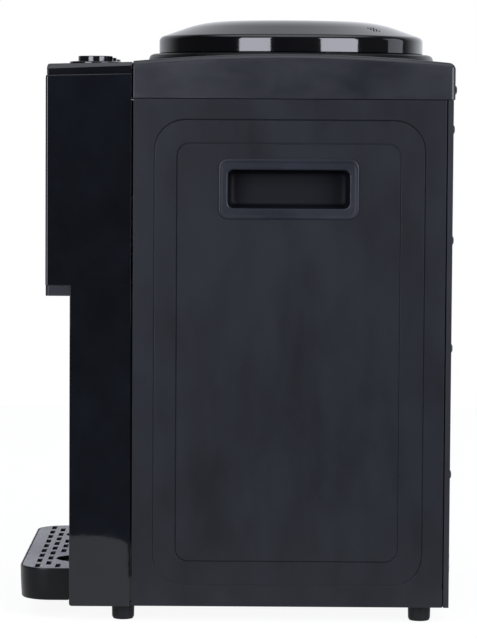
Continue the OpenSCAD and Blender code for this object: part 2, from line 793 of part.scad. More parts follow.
module mains_inlet() {
  color("#141417") union() {
    difference() {
      union() {
        box([inlet_x - 17, back_y - 2, switch_z - 14], [inlet_x + 17, back_y - 0.3, switch_z + 14]);
        box([inlet_x - 14.7, 154, switch_z - 11.7], [inlet_x + 14.7, back_y - 1, switch_z + 11.7]);
      }
      extrude_y(158, back_y + 1) polygon([
        [inlet_x - 12.2, switch_z - 8.2], [inlet_x + 12.2, switch_z - 8.2], [inlet_x + 12.2, switch_z + 3.5],
        [inlet_x + 7.5, switch_z + 8.2], [inlet_x - 7.5, switch_z + 8.2], [inlet_x - 12.2, switch_z + 3.5]
      ]);
    }
    for (p = [[-7, -1], [0, 3], [7, -1]])
      box([inlet_x + p[0] - 1, 152, switch_z + p[1] - 2], [inlet_x + p[0] + 1, 174, switch_z + p[1] + 2]);
  }
}
module drain_outlet() {
  color("#d8d8d6") translate([drain_xz[0], 0, drain_xz[1]]) difference() {
    union() {
      rod_y(8, 150, back_y + 2);
      rod_y(10, back_front - 4, back_front - 1.1);
      rod_y(9, back_y + 0.3, tray_front - 1);
      rod_y(7.8, tray_front - 1.1, tray_front);
      for (a = [0:30:330]) rotate([0, a, 0]) rod_y(0.9, back_y + 1, tray_front - 1.4, 8.8, 0);
    }
    rod_y(4.5, 149, back_y - 4);
  }
}

// ---- Water and cooling parts inside ----
module cold_tank() {
  front = collar_y - tank_r;
  color("#c4c6ca") difference() {
    union() {
      rod_z(tank_r, tank_z0, tank_z1, 0, collar_y);
      for (p = cold_ports()) rod_z(spigot_r, tank_z0 - spigot_l, tank_z0 + 1, p[0], p[1]);
      rod_y(spigot_r, front - spigot_l, front + 1, 0, room_port_z);
    }
    rod_z(tank_r - 1.5, tank_z0 + 1.5, tank_z1 + 1, 0, collar_y);
    for (p = cold_ports()) rod_z(spigot_r - 1.5, tank_z0 - spigot_l - 1, tank_z0 + 3, p[0], p[1]);
    rod_y(spigot_r - 1.5, front - spigot_l - 1, front + 6, 0, room_port_z);
  }
}
function cold_ports() = [[40, 6], [-20, 20]];
module cold_tank_lid() {
  color("#e4e4e0") difference() {
    union() {
      rod_z(tank_r + 2, tank_z1, tank_z1 + 3, 0, collar_y);
      rod_z(tank_r - 1.8, tank_z1 - 4, tank_z1 + 1, 0, collar_y);
    }
    rod_z(tank_r - 5, tank_z1 - 5, tank_z1, 0, collar_y);
    rod_z(outlet_r + 0.5, tank_z1 - 5, tank_z1 + 4, 0, collar_y);
  }
}
module baffle() {
  color("#e4e4e0") difference() {
    union() {
      rod_z(tank_r - 4, 322, 324, 0, collar_y);
      rod_z(6, tank_z0 + 1.5, 324, 0, collar_y);
    }
    rod_z(4, tank_z0, 325, 0, collar_y);
    for (a = [0:60:300])
      translate([0, collar_y, 0]) rotate(a) rod_z(5, 320, 326, 52, 0);
    rod_x(3, -8, 8, collar_y, tank_z0 + 8);
  }
}
module cold_tank_foam() {
  color("#e8e4d8") difference() {
    rod_z(tank_r + 18, tank_z0 - 16, tank_z1 - 4, 0, collar_y);
    rod_z(tank_r + 0.3, tank_z0, tank_z1, 0, collar_y);
    box([-100, peltier_y0 - 1, tank_z0 - 20], [100, 200, tank_z1 + 1]);
    box([-24, block_y0 - 25, cooler_z - 24], [24, 200, cooler_z + 24]);
    box([-13, -60, room_port_z - 18], [13, collar_y - tank_r + 12, tank_z1 - 3]);
    for (p = cold_ports()) rod_z(9, tank_z0 - 20, tank_z0 + 1, p[0], p[1]);
  }
}
module cold_block() {
  color("#b8bcc2") difference() {
    box([-22, block_y0 - 8, cooler_z - 22], [22, peltier_y0, cooler_z + 22]);
    rod_z(tank_r + 0.1, cooler_z - 30, cooler_z + 30, 0, collar_y);
  }
}
module peltier() {
  color("#f0f0ee") union() {
    box([-20, peltier_y0, cooler_z - 20], [20, sink_y0, cooler_z + 20]);
    for (x = [-12, 12]) box([x - 1, peltier_y0 + 1, cooler_z - 40], [x + 1, peltier_y0 + 3, cooler_z - 19]);
  }
}
module heat_sink() {
  fins = 15;
  color("#9fa3a9") union() {
    box([-45, sink_y0, cooler_z - 45], [45, sink_y0 + 4, cooler_z + 45]);
    for (i = [0:fins - 1])
      box([-45 + i * (88.6 / (fins - 1)), sink_y0 + 3, cooler_z - 45],
          [-43.6 + i * (88.6 / (fins - 1)), fan_y0, cooler_z + 45]);
  }
}
fan_bore = 37.5;
hub_r = 15;
module fan_frame() {
  y1 = fan_y0 + fan_d;
  color("#202124") difference() {
    union() {
      difference() {
        extrude_y(fan_y0, y1) translate([0, cooler_z]) round_rect(2 * fan_half, 2 * fan_half, 4);
        rod_y(fan_bore, fan_y0 - 1, y1 + 1, 0, cooler_z);
      }
      rod_y(hub_r, fan_y0, fan_y0 + 2, 0, cooler_z);
      for (a = [0, 90])
        translate([0, 0, cooler_z]) rotate([0, a, 0])
          box([-fan_bore - 1, fan_y0, -1.5], [fan_bore + 1, fan_y0 + 2, 1.5]);
      rod_y(2, fan_y0, fan_y0 + 10, 0, cooler_z);
    }
    for (sx = [-1, 1])
      for (sz = [-1, 1])
        rod_y(2.15, fan_y0 - 1, y1 + 1, sx * 35.75, cooler_z + sz * 35.75);
  }
}
// Blades are thin plates leaned against the air stream
module fan_rotor() {
  y0 = fan_y0 + 2.8;
  y1 = fan_y0 + fan_d - 1;
  color("#2c2d31") translate([0, 0, cooler_z]) difference() {
    union() {
      rod_y(hub_r, y0, y1);
      intersection() {
        rod_y(fan_bore - 1, y0, y1);
        for (k = [0:6])
          rotate([0, k * 360 / 7, 0]) translate([0, (y0 + y1) / 2, 0]) rotate([38, 0, 0])
            box([hub_r - 3, -9, -0.8], [fan_bore, 9, 0.8]);
      }
    }
    rod_y(2.05, y0 - 1, y1 - 2);
    difference() {
      rod_y(hub_r - 2, y0 - 1, y1 - 2);
      rod_y(4, y0 - 2, y1);
    }
  }
}

module hot_tank() {
  x = hot_xy[0];
  y = hot_xy[1];
  color("#b9bbbf") difference() {
    union() {
      rod_z(hot_r, hot_z0, hot_z1, x, y);
      rod_y(spigot_r, y - hot_r - spigot_l, y - hot_r + 2, x, hot_port_z);
      rod_z(spigot_r, hot_z0 - spigot_l, hot_z0 + 1, x + 20, y);
      for (a = [30:120:270])
        translate([x, y, 0]) rotate(a) box([30, -4, base_z + wall], [36, 4, hot_z0 + 1]);
    }
    rod_z(hot_r - 1.5, hot_z0 + 1.5, hot_z1 - 1.5, x, y);
    rod_y(spigot_r - 1.5, y - hot_r - spigot_l - 1, y - hot_r + 4, x, hot_port_z);
    rod_z(spigot_r - 1.5, hot_z0 - spigot_l - 1, hot_z0 + 3, x + 20, y);
  }
}
module heater_band() {
  color("#8f8a80") difference() {
    union() {
      rod_z(hot_r + 3, 96, 140, hot_xy[0], hot_xy[1]);
      box([hot_xy[0] - 6, hot_xy[1] - hot_r - 12, 104], [hot_xy[0] + 6, hot_xy[1] - hot_r + 2, 132]);
    }
    rod_z(hot_r + 0.1, 95, 141, hot_xy[0], hot_xy[1]);
    box([hot_xy[0] - 1.5, hot_xy[1] - hot_r - 13, 95], [hot_xy[0] + 1.5, hot_xy[1] - hot_r + 4, 141]);
  }
}
module thermostats() {
  color("#d9d4c6") for (z = [160, 184]) difference() {
    union() {
      rod_x(8, hot_xy[0] + hot_r - 2, hot_xy[0] + hot_r + 8, hot_xy[1], z);
      for (s = [-1, 1])
        box([hot_xy[0] + hot_r + 7, hot_xy[1] + s * 4 - 0.4, z - 3], [hot_xy[0] + hot_r + 15, hot_xy[1] + s * 4 + 0.4, z + 3]);
    }
    rod_z(hot_r + 0.1, z - 12, z + 12, hot_xy[0], hot_xy[1]);
  }
}
module power_board() {
  color("#1f6b3a") union() {
    box([48, -40, 28], [138, 80, 29.6]);
    for (p = [[54, -34], [132, -34], [54, 74], [132, 74]]) rod_z(3, base_z + wall, 28.5, p[0], p[1]);
    box([60, 20, 29], [92, 60, 62]);
    box([100, 40, 29], [128, 70, 44]);
    for (y = [-28, -8]) rod_z(8, 29, 58, 112, y);
    rod_z(5, 29, 48, 70, -20);
    box([56, -8, 29], [84, 8, 36]);
  }
}

// Hoses follow smooth curves through a few round points
function blend4(a, b, c, d, t) = 0.5 * ((2 * b) + (c - a) * t + (2 * a - 5 * b + 4 * c - d) * t * t
  + (3 * b - a - 3 * c + d) * t * t * t);
function smooth(p, n) = [
  for (i = [0:len(p) - 2]) for (k = [0:n - 1])
    blend4(p[max(i - 1, 0)], p[i], p[i + 1], p[min(i + 2, len(p) - 1)], k / n),
  p[len(p) - 1]
];
hose_r = 5;
hose_gap = 0.5;
tap_in_y = valve_y + 24 + hose_gap;
tap_in_z = 320;
cold_end = tank_z0 - spigot_l - hose_gap;
hot_end = hot_z0 - spigot_l - hose_gap;
module water_hoses() {
  room_end = collar_y - tank_r - spigot_l - hose_gap;
  hot_top_end = hot_xy[1] - hot_r - spigot_l - hose_gap;
  room_route = [[tap_x[1], tap_in_y, tap_in_z], [0, -80, 320], [0, -70, 322], [0, -57, 340],
    [0, -47, 351], [0, -41, room_port_z], [0, room_end, room_port_z]];
  cold_route = [[tap_x[0], tap_in_y, tap_in_z], [86, -76, 320], [84, -60, 317], [80, -48, 304], [76, -44, 276],
    [70, -40, 240], [60, -28, 221], [48, -8, 215], [41, 4, 224], [40, 6, 238], [40, 6, cold_end]];
  hot_route = [[tap_x[2], tap_in_y, tap_in_z], [-87, -76, 320], [-88, -60, 317], [-88, -48, 304], [-87, -42, 276],
    [-80, -41, 240], [-66, -40, 206], [-57, -32, 193], [hot_xy[0], hot_top_end, hot_port_z]];
  feed_route = [[-20, 20, cold_end], [-20, 20, 242], [-19, 20, 236], [-13, 23, 227], [4, 34, 214], [18, 44, 192], [20, 46, 150],
    [20, 46, 80], [14, 45, 52], [-6, 43, 34], [-26, 41, 34], [-35, 40, 46], [-35, 40, hot_end]];
  color("#e9e6dc") for (route = [room_route, cold_route, hot_route, feed_route])
    sweep(smooth(route, 4), hose_r, 8);
}

base_pan();
foot_front_right();
foot_front_left();
foot_rear_right();
foot_rear_left();
side_panel_right();
side_panel_left();
handle_cup_right();
handle_cup_left();
top_cover();
front_fascia();
button_panel();
head_underplate();
splash_panel();
indicator_lights();
back_panel();
back_screws();
lid();
bottle_receiver();
feed_spike();
drip_tray();
drip_grate();
button_cold();
button_room();
button_hot();
button_ring_cold();
button_ring_room();
button_ring_hot();
button_spring_cold();
button_spring_room();
button_spring_hot();
tap_body_cold();
tap_body_room();
tap_body_hot();
valve_plunger_cold();
valve_plunger_room();
valve_plunger_hot();
tap_lever_cold();
tap_lever_room();
tap_lever_hot();
lever_pins();
cold_tank();
cold_tank_lid();
cold_tank_foam();
baffle();
hot_tank();
heater_band();
thermostats();
cold_block();
peltier();
heat_sink();
fan_frame();
fan_rotor();
power_board();
switch_housing();
rocker_hot();
rocker_cold();
mains_inlet();
drain_outlet();
water_hoses();
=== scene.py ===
"""Countertop water dispenser: the looks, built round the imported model.

The camera comes first, then the studio, the finishes, and one function per group of pieces.
The camera, the studio and CAD boxes are in metres. From "mesh building" on, lengths are in millimetres,
and a vertex is turned into metres as it is made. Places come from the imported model's own boxes.
"""
import json
import math

import bmesh
import bpy
from mathutils import Matrix, Vector

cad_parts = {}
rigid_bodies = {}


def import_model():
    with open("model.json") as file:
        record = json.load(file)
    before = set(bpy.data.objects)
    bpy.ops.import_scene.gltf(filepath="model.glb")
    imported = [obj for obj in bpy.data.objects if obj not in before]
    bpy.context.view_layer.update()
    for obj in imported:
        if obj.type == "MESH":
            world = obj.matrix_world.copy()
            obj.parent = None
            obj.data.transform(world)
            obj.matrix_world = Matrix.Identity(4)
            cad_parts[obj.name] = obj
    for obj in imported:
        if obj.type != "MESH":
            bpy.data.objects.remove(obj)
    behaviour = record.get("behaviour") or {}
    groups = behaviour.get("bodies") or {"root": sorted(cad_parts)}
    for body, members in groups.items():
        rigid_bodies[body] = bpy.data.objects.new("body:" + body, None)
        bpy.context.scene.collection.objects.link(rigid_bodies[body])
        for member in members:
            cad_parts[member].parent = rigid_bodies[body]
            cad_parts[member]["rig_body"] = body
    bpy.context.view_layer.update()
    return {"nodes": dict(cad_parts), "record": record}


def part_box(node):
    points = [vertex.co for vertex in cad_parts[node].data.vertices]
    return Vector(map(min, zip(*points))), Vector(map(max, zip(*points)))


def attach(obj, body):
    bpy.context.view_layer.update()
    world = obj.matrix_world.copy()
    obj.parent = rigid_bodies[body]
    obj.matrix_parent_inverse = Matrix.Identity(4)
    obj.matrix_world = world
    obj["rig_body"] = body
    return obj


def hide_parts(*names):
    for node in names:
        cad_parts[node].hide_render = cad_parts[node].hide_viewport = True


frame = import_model()
nodes = frame["nodes"]
record = frame["record"]
scene = bpy.context.scene
MM = 0.001

# ---------------------------------------------------------------- camera
CAMERA_PLACE = (2.773, 0.0031, 0.4358)
CAMERA_DOWN = math.radians(3.845)
CAMERA_TURN = math.radians(0.056)
CAMERA_ROLL = 0.0062
CAMERA_LENS, CAMERA_SENSOR = 173.25, 36.0
CAMERA_CLIP = (0.05, 60.0)
QUARTER = math.radians(90)


def make_camera():
    data = bpy.data.cameras.new("camera")
    data.lens = CAMERA_LENS
    data.sensor_width = CAMERA_SENSOR
    data.clip_start, data.clip_end = CAMERA_CLIP
    camera = bpy.data.objects.new("camera", data)
    scene.collection.objects.link(camera)
    turn = Matrix.Rotation(QUARTER + CAMERA_TURN, 4, "Z")
    lift = Matrix.Rotation(QUARTER - CAMERA_DOWN, 4, "X")
    roll = Matrix.Rotation(CAMERA_ROLL, 4, "Z")
    camera.matrix_world = Matrix.Translation(CAMERA_PLACE) @ turn @ lift @ roll
    scene.camera = camera


# ---------------------------------------------------------------- node helpers
class Graph:
    """A small helper that adds shader nodes to one tree and links them."""

    def __init__(self, tree):
        self.tree = tree
        tree.nodes.clear()

    def add(self, kind, **settings):
        made = self.tree.nodes.new(kind)
        for name, value in settings.items():
            setattr(made, name, value)
        return made

    def link(self, source, target):
        self.tree.links.new(source, target)

    def maths(self, operation, first, second):
        """The result of a sum on two inputs, each of which is another node's output or a number."""
        made = self.add("ShaderNodeMath", operation=operation)
        for value, target in zip((first, second), made.inputs):
            if isinstance(value, (int, float)):
                target.default_value = value
            else:
                self.link(value, target)
        return made.outputs[0]

    def ramp(self, source, given, wanted, curve="SMOOTHSTEP"):
        """Takes the source from the given range to the wanted one, by a smooth step unless told otherwise."""
        made = self.add("ShaderNodeMapRange", interpolation_type=curve)
        self.link(source, made.inputs["Value"])
        made.inputs["From Min"].default_value, made.inputs["From Max"].default_value = given
        made.inputs["To Min"].default_value, made.inputs["To Max"].default_value = wanted
        return made.outputs[0]

    def noise(self, place, size_mm, detail, roughness=0.5):
        made = self.add("ShaderNodeTexNoise")
        made.inputs["Scale"].default_value = 1 / (size_mm * MM)
        made.inputs["Detail"].default_value = detail
        made.inputs["Roughness"].default_value = roughness
        self.link(place, made.inputs["Vector"])
        return made.outputs[0]


def linear(red, green, blue):
    """A colour given as 0 to 255 screen values, as linear light with full alpha."""
    def one(value):
        share = value / 255
        return share / 12.92 if share <= 0.04045 else ((share + 0.055) / 1.055) ** 2.4
    return (one(red), one(green), one(blue), 1.0)


# ---------------------------------------------------------------- studio
# What reflections see. An EDGE or TURN is a range of one axis of the direction looked in, which runs from
# -1 to 1, and the rest are brightnesses. Far and near mean away from the camera and towards it, and front
# and rear are those of the dispenser.
WALL_FAR, WALL_NEAR = 0.9, 0.08
WALL_EDGE = (-0.85, -0.4)
WALL_FRONT, WALL_REAR = 0.78, 1.36
WALL_TURN = (-0.35, 0.35)
WALL_FADE = 0.75
FADE_EDGE = (0.05, 0.65)
CEILING_FAR, CEILING_NEAR = 0.1, 2.0
CEILING_TURN = (-0.5, 0.0)
CEILING_EDGE = (0.68, 0.86)
STUDIO_TINT = (0.92, 0.94, 1.0, 1)
WHITE = (1, 1, 1, 1)

SOFTBOX_DISTANCE, SOFTBOX_HEIGHT, SOFTBOX_TALL = 2.3, 0.9, 1.6
SOFTBOX_TINT = (0.94, 0.95, 1.07)
# Name: azimuth in degrees from +X towards +Y, width, radiance.
SOFTBOXES = {
    "front_box": (-31.7, 1.11, 9.6),
    "rear_box": (40.8, 1.37, 9.6),
    "side_strip": (100.5, 0.82, 1.45),
}

FLOOR_REACH = 1.8
FLOOR_LONG_X, FLOOR_SHORT_X = 0.69, 0.4
FLOOR_LONG_Y, FLOOR_SHORT_Y = -0.1088, -0.1013
FLOOR_ROUND_X, FLOOR_ROUND_Y = 0.09, 0.04
FLOOR_ROUND_STEPS = 12
PAPER_GREY, PAPER_ROUGH, PAPER_GLOW = 0.08, 0.9, 0.92


def softbox(name, azimuth, width, radiance):
    """A rectangular light that stands off from the dispenser and faces the lid's axis."""
    data = bpy.data.lights.new(name, "AREA")
    data.shape = "RECTANGLE"
    data.size, data.size_y = width, SOFTBOX_TALL
    data.energy = radiance * math.pi * width * SOFTBOX_TALL
    data.color = SOFTBOX_TINT
    light = bpy.data.objects.new(name, data)
    scene.collection.objects.link(light)
    lid_low, lid_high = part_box("lid")
    target = Vector((0, (lid_low.y + lid_high.y) / 2, SOFTBOX_HEIGHT))
    angle = math.radians(azimuth)
    light.location = target + SOFTBOX_DISTANCE * Vector((math.cos(angle), math.sin(angle), 0))
    light.rotation_euler = (target - light.location).to_track_quat("-Z", "Y").to_euler()
    light.visible_camera = False


def make_world():
    """White to the eye; reflections see a bright ceiling over a studio that is dark on the near side."""
    world = bpy.data.worlds.new("studio")
    scene.world = world
    world.use_nodes = True
    g = Graph(world.node_tree)
    place = g.add("ShaderNodeTexCoord")
    axes = g.add("ShaderNodeSeparateXYZ")
    g.link(place.outputs["Generated"], axes.inputs[0])
    x, y, z = axes.outputs
    walls = g.ramp(x, WALL_EDGE, (WALL_FAR, WALL_NEAR))
    fade = g.ramp(z, FADE_EDGE, (1, WALL_FADE))
    turned = g.ramp(y, WALL_TURN, (WALL_FRONT, WALL_REAR))
    lower = g.maths("MULTIPLY", walls, g.maths("MULTIPLY", turned, fade))
    ceiling = g.ramp(x, CEILING_TURN, (CEILING_FAR, CEILING_NEAR))
    upper = g.maths("MULTIPLY", g.ramp(z, CEILING_EDGE, (0, 1)), ceiling)
    studio = g.add("ShaderNodeBackground")
    studio.inputs["Color"].default_value = STUDIO_TINT
    g.link(g.maths("ADD", upper, lower), studio.inputs["Strength"])
    white = g.add("ShaderNodeBackground")
    white.inputs["Color"].default_value = WHITE
    white.inputs["Strength"].default_value = 1.0
    ray = g.add("ShaderNodeLightPath")
    mix = g.add("ShaderNodeMixShader")
    g.link(ray.outputs["Is Camera Ray"], mix.inputs[0])
    g.link(studio.outputs[0], mix.inputs[1])
    g.link(white.outputs[0], mix.inputs[2])
    out = g.add("ShaderNodeOutputWorld")
    g.link(mix.outputs[0], out.inputs["Surface"])


def floor_outline():
    """The sheet reaches further towards the camera at the front, and ends there in a round corner."""
    points = [(-FLOOR_REACH, -FLOOR_REACH), (FLOOR_LONG_X, -FLOOR_REACH)]
    for i in range(FLOOR_ROUND_STEPS + 1):
        turn = QUARTER * i / FLOOR_ROUND_STEPS
        x = FLOOR_LONG_X - FLOOR_ROUND_X * (1 - math.cos(turn))
        points.append((x, FLOOR_LONG_Y - FLOOR_ROUND_Y * (1 - math.sin(turn))))
    points += [(FLOOR_SHORT_X, FLOOR_SHORT_Y), (FLOOR_SHORT_X, FLOOR_REACH)]
    return points + [(-FLOOR_REACH, FLOOR_REACH)]


def paper():
    """White paper that glows a little, so that it is as white as the background."""
    made = bpy.data.materials.new("paper")
    made.use_nodes = True
    g = Graph(made.node_tree)
    shader = g.add("ShaderNodeBsdfPrincipled")
    shader.inputs["Base Color"].default_value = (PAPER_GREY, PAPER_GREY, PAPER_GREY, 1)
    shader.inputs["Roughness"].default_value = PAPER_ROUGH
    shader.inputs["Specular IOR Level"].default_value = 0.0
    shader.inputs["Emission Color"].default_value = WHITE
    shader.inputs["Emission Strength"].default_value = PAPER_GLOW
    out = g.add("ShaderNodeOutputMaterial")
    g.link(shader.outputs[0], out.inputs["Surface"])
    return made


def make_floor():
    mesh = bpy.data.meshes.new("floor")
    bm = bmesh.new()
    bm.faces.new([bm.verts.new((x, y, 0)) for x, y in floor_outline()])
    bm.to_mesh(mesh)
    bm.free()
    mesh.materials.append(paper())
    floor = bpy.data.objects.new("floor", mesh)
    scene.collection.objects.link(floor)


def make_studio():
    scene.view_settings.view_transform = "Standard"
    make_world()
    make_floor()
    for name, (azimuth, width, radiance) in SOFTBOXES.items():
        softbox(name, azimuth, width, radiance)


# ---------------------------------------------------------------- finishes
COAT_ROUGH = 0.03
LEAST_ROUGH = 0.02
BLOTCH_SPAN = (0.3, 0.7)
LOOKS_UP = 0.8
MIX_FIRST, MIX_SECOND, MIX_RESULT = 6, 7, 2   # the colour sockets of a Mix node


def tinted(g, slow, colour, blotch):
    """The colour, made darker and lighter by the slow noise."""
    made = g.add("ShaderNodeValToRGB")
    for stop, position, share in zip(made.color_ramp.elements, BLOTCH_SPAN, (1 - blotch, 1 + blotch)):
        stop.position = position
        stop.color = tuple(c * share for c in colour[:3]) + (1,)
    g.link(slow, made.inputs[0])
    return made.outputs[0]


def flaked(g, place, paint, size_mm, speck):
    """The paint with metal flakes in it, each a little brighter or darker."""
    flakes = g.add("ShaderNodeTexVoronoi")
    flakes.inputs["Scale"].default_value = 1 / (size_mm * MM)
    g.link(place, flakes.inputs["Vector"])
    value = g.add("ShaderNodeSeparateColor")
    g.link(flakes.outputs["Color"], value.inputs[0])
    made = g.add("ShaderNodeVectorMath", operation="SCALE")
    g.link(paint, made.inputs[0])
    g.link(g.ramp(value.outputs[0], (0, 1), (1 - speck, 1 + speck), "LINEAR"), made.inputs["Scale"])
    return made.outputs[0]


def painted_on_top(g, paint, bare):
    """Keeps the paint on faces that look up and gives the rest the bare colour; also returns that mask."""
    surface = g.add("ShaderNodeNewGeometry")
    facing = g.add("ShaderNodeSeparateXYZ")
    g.link(surface.outputs["True Normal"], facing.inputs[0])
    mask = g.maths("GREATER_THAN", facing.outputs["Z"], LOOKS_UP)
    made = g.add("ShaderNodeMix", data_type="RGBA")
    made.inputs[MIX_FIRST].default_value = bare
    g.link(mask, made.inputs["Factor"])
    g.link(paint, made.inputs[MIX_SECOND])
    return made.outputs[MIX_RESULT], mask


def finish(name, colour, rough, grain_mm=0.6, grain=0.1, blotch=0.12, blotch_mm=60, rough_swing=0.06,
           metallic=0.0, coat=0.0, specular=0.5, speck=0.0, sides=None, stretch=(1, 1, 1)):
    """One moulded, painted or metal finish: fine grain in the bump, slow changes in colour and gloss.

    grain_mm and blotch_mm are the sizes of the grain and of the slow changes, grain the bump's strength,
    blotch the share by which the colour changes, and speck the share by which metal flakes differ. Where
    sides is a colour, only the faces that look up are painted, and the rest is bare plastic of that colour.
    """
    made = bpy.data.materials.new(name)
    made.use_nodes = True
    g = Graph(made.node_tree)
    shader = g.add("ShaderNodeBsdfPrincipled")
    where = g.add("ShaderNodeTexCoord")
    mapping = g.add("ShaderNodeMapping")
    mapping.inputs["Scale"].default_value = stretch
    g.link(where.outputs["Object"], mapping.inputs["Vector"])
    place = mapping.outputs[0]
    slow = g.noise(place, blotch_mm, detail=4, roughness=0.6)
    fine = g.noise(place, grain_mm, detail=2)

    paint = tinted(g, slow, linear(*colour), blotch)
    if speck:
        paint = flaked(g, place, paint, grain_mm, speck)
    shader.inputs["Metallic"].default_value = metallic
    if sides:
        paint, mask = painted_on_top(g, paint, linear(*sides))
        g.link(g.maths("MULTIPLY", mask, metallic), shader.inputs["Metallic"])
    g.link(paint, shader.inputs["Base Color"])

    gloss = (max(LEAST_ROUGH, rough - rough_swing), min(1.0, rough + rough_swing))
    g.link(g.ramp(slow, BLOTCH_SPAN, gloss, "LINEAR"), shader.inputs["Roughness"])

    bump = g.add("ShaderNodeBump")
    bump.inputs["Strength"].default_value = grain
    bump.inputs["Distance"].default_value = grain_mm * MM / 2
    g.link(fine, bump.inputs["Height"])
    g.link(bump.outputs[0], shader.inputs["Normal"])

    shader.inputs["Specular IOR Level"].default_value = specular
    shader.inputs["Coat Weight"].default_value = coat
    shader.inputs["Coat Roughness"].default_value = COAT_ROUGH
    out = g.add("ShaderNodeOutputMaterial")
    g.link(shader.outputs[0], out.inputs["Surface"])
    return made


# One finish per material slot of the record; the last three dress details that the record doesn't tell apart,
# and of these the vents' and the pockets' finishes are painted shade.
FINISHES = {
    "panel_matte": dict(colour=(7, 10, 17), rough=0.45, grain_mm=0.7, grain=0.22, blotch=0.3, blotch_mm=42,
                        specular=0.25, stretch=(1, 1, 0.45)),
    "cover_matte": dict(colour=(9, 12, 20), rough=0.36, grain=0.12, blotch=0.2, blotch_mm=40,
                        stretch=(1, 0.5, 1)),
    "fascia_gloss": dict(colour=(9, 11, 15), rough=0.035, grain_mm=6, grain=0.003, blotch=0.35,
                         rough_swing=0.015, specular=0.36),
    "cap_satin": dict(colour=(5, 6, 9), rough=0.12, grain_mm=0.5, grain=0.02, blotch=0.15, rough_swing=0.03,
                      specular=0.48),
    "handle_plastic": dict(colour=(16, 19, 27), rough=0.38, grain_mm=0.5, grain=0.12, blotch=0.2,
                           specular=0.3),
    "lid_gloss": dict(colour=(5, 5, 7), rough=0.06, grain_mm=8, grain=0.008, blotch=0.1, rough_swing=0.02),
    "collar_plastic": dict(colour=(6, 7, 9), rough=0.32, grain_mm=0.5, grain=0.05, blotch=0.15,
                           specular=0.25),
    "button_gloss": dict(colour=(12, 12, 15), rough=0.1, grain_mm=4, grain=0.01, blotch=0.1,
                         rough_swing=0.02),
    "tray_plastic": dict(colour=(3, 4, 7), rough=0.3, grain_mm=0.5, grain=0.08, blotch=0.15, specular=0.17),
    "grate_metallic": dict(colour=(130, 130, 138), rough=0.42, grain_mm=1.1, grain=0.15, blotch=0.04,
                           metallic=0.35, speck=0.34, sides=(6, 6, 8)),
    "foot_rubber": dict(colour=(8, 9, 12), rough=0.6, grain_mm=0.5, grain=0.25, blotch=0.15, specular=0.18),
    "pan_steel": dict(colour=(60, 62, 66), rough=0.45, grain_mm=1.2, blotch=0.1, metallic=0.6),
    "back_sheet": dict(colour=(14, 16, 21), rough=0.5, grain=0.22, blotch=0.2, specular=0.3),
    "screw_steel": dict(colour=(70, 71, 75), rough=0.35, grain_mm=0.3, blotch=0.15, metallic=0.9),
    "tap_plastic": dict(colour=(210, 210, 206), rough=0.35, grain_mm=0.5, grain=0.06, blotch=0.03),
    "spring_steel": dict(colour=(170, 172, 178), rough=0.25, grain_mm=0.3, grain=0.08, blotch=0.08,
                         metallic=1.0),
    "lever_zinc": dict(colour=(175, 178, 184), rough=0.38, grain_mm=0.4, grain=0.15, blotch=0.1,
                       metallic=0.9),
    "tank_steel": dict(colour=(190, 192, 197), rough=0.28, grain_mm=0.8, grain=0.06, blotch=0.05,
                       metallic=1.0, stretch=(1, 1, 0.1)),
    "foam_white": dict(colour=(228, 225, 212), rough=0.95, grain_mm=3.0, grain=0.6, blotch=0.06,
                       specular=0.1),
    "white_plastic": dict(colour=(226, 226, 220), rough=0.4, grain_mm=0.5, grain=0.08, blotch=0.03),
    "heater_mica": dict(colour=(150, 143, 128), rough=0.55, grain_mm=1.5, grain=0.2, blotch=0.15,
                        metallic=0.3),
    "ceramic": dict(colour=(232, 232, 228), rough=0.5, grain_mm=0.4, blotch=0.04),
    "block_aluminium": dict(colour=(178, 181, 186), rough=0.35, grain=0.12, blotch=0.06, metallic=1.0,
                            stretch=(0.15, 1, 1)),
    "fan_plastic": dict(colour=(22, 23, 26), rough=0.4, grain_mm=0.5, grain=0.12, blotch=0.1),
    "board_green": dict(colour=(24, 84, 46), rough=0.35, grain_mm=1.5, blotch=0.2, blotch_mm=6),
    "switch_black": dict(colour=(16, 16, 19), rough=0.35, grain_mm=0.4, grain=0.12, blotch=0.1),
    "rocker_red": dict(colour=(140, 18, 18), rough=0.25, grain_mm=0.5, grain=0.05, blotch=0.05),
    "rocker_green": dict(colour=(18, 84, 46), rough=0.25, grain_mm=0.5, grain=0.05, blotch=0.05),
    "hose_silicone": dict(colour=(214, 210, 198), rough=0.45, grain_mm=1.0, grain=0.06, blotch=0.05),
    "lens_set": dict(colour=(150, 26, 20), rough=0.12, grain_mm=0.8, grain=0.03, blotch=0.08, coat=0.5),
    # The vents' finish: matte black, painted shade for the insides of the open vent holes.
    "vent_painted_shade": dict(colour=(4, 4, 5), rough=0.6, grain_mm=0.3, blotch=0.1),
    # The handle pockets' finish: duller, and darker in colour as painted shade for the recess.
    "pocket_painted_shade": dict(colour=(6, 7, 12), rough=0.6, grain_mm=0.5, grain=0.15, blotch=0.2, specular=0.14),
    "strip_matte": dict(colour=(20, 21, 27), rough=0.4, grain_mm=0.5, grain=0.12, blotch=0.15, specular=0.3),
}
# A node whose finish isn't that of its slot.
OWN_FINISH = {"head_underplate": "strip_matte"}
materials = {}


def make_finishes():
    for name, settings in FINISHES.items():
        materials[name] = finish(name, **settings)


# ---------------------------------------------------------------- mesh building, in millimetres
STRAIGHT = math.radians(179)
LONGEST_EASE = 0.49   # the share of a side that a round corner may take up
SHARP_ANGLE = math.radians(50)
slot_of = {row["node"]: row["material_slot"] for row in record["subparts"]}


def box_mm(node):
    """The lowest and highest corner of a CAD node at rest, in millimetres."""
    low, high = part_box(node)
    return low / MM, high / MM


def middle_and_radius(node):
    """The upright axis of a round CAD node and its outer radius, in millimetres."""
    low, high = box_mm(node)
    return (low.x + high.x) / 2, (low.y + high.y) / 2, (high.x - low.x) / 2


def between(first, last, share):
    """The value that lies a share of the way from the first to the last."""
    return first + (last - first) * share


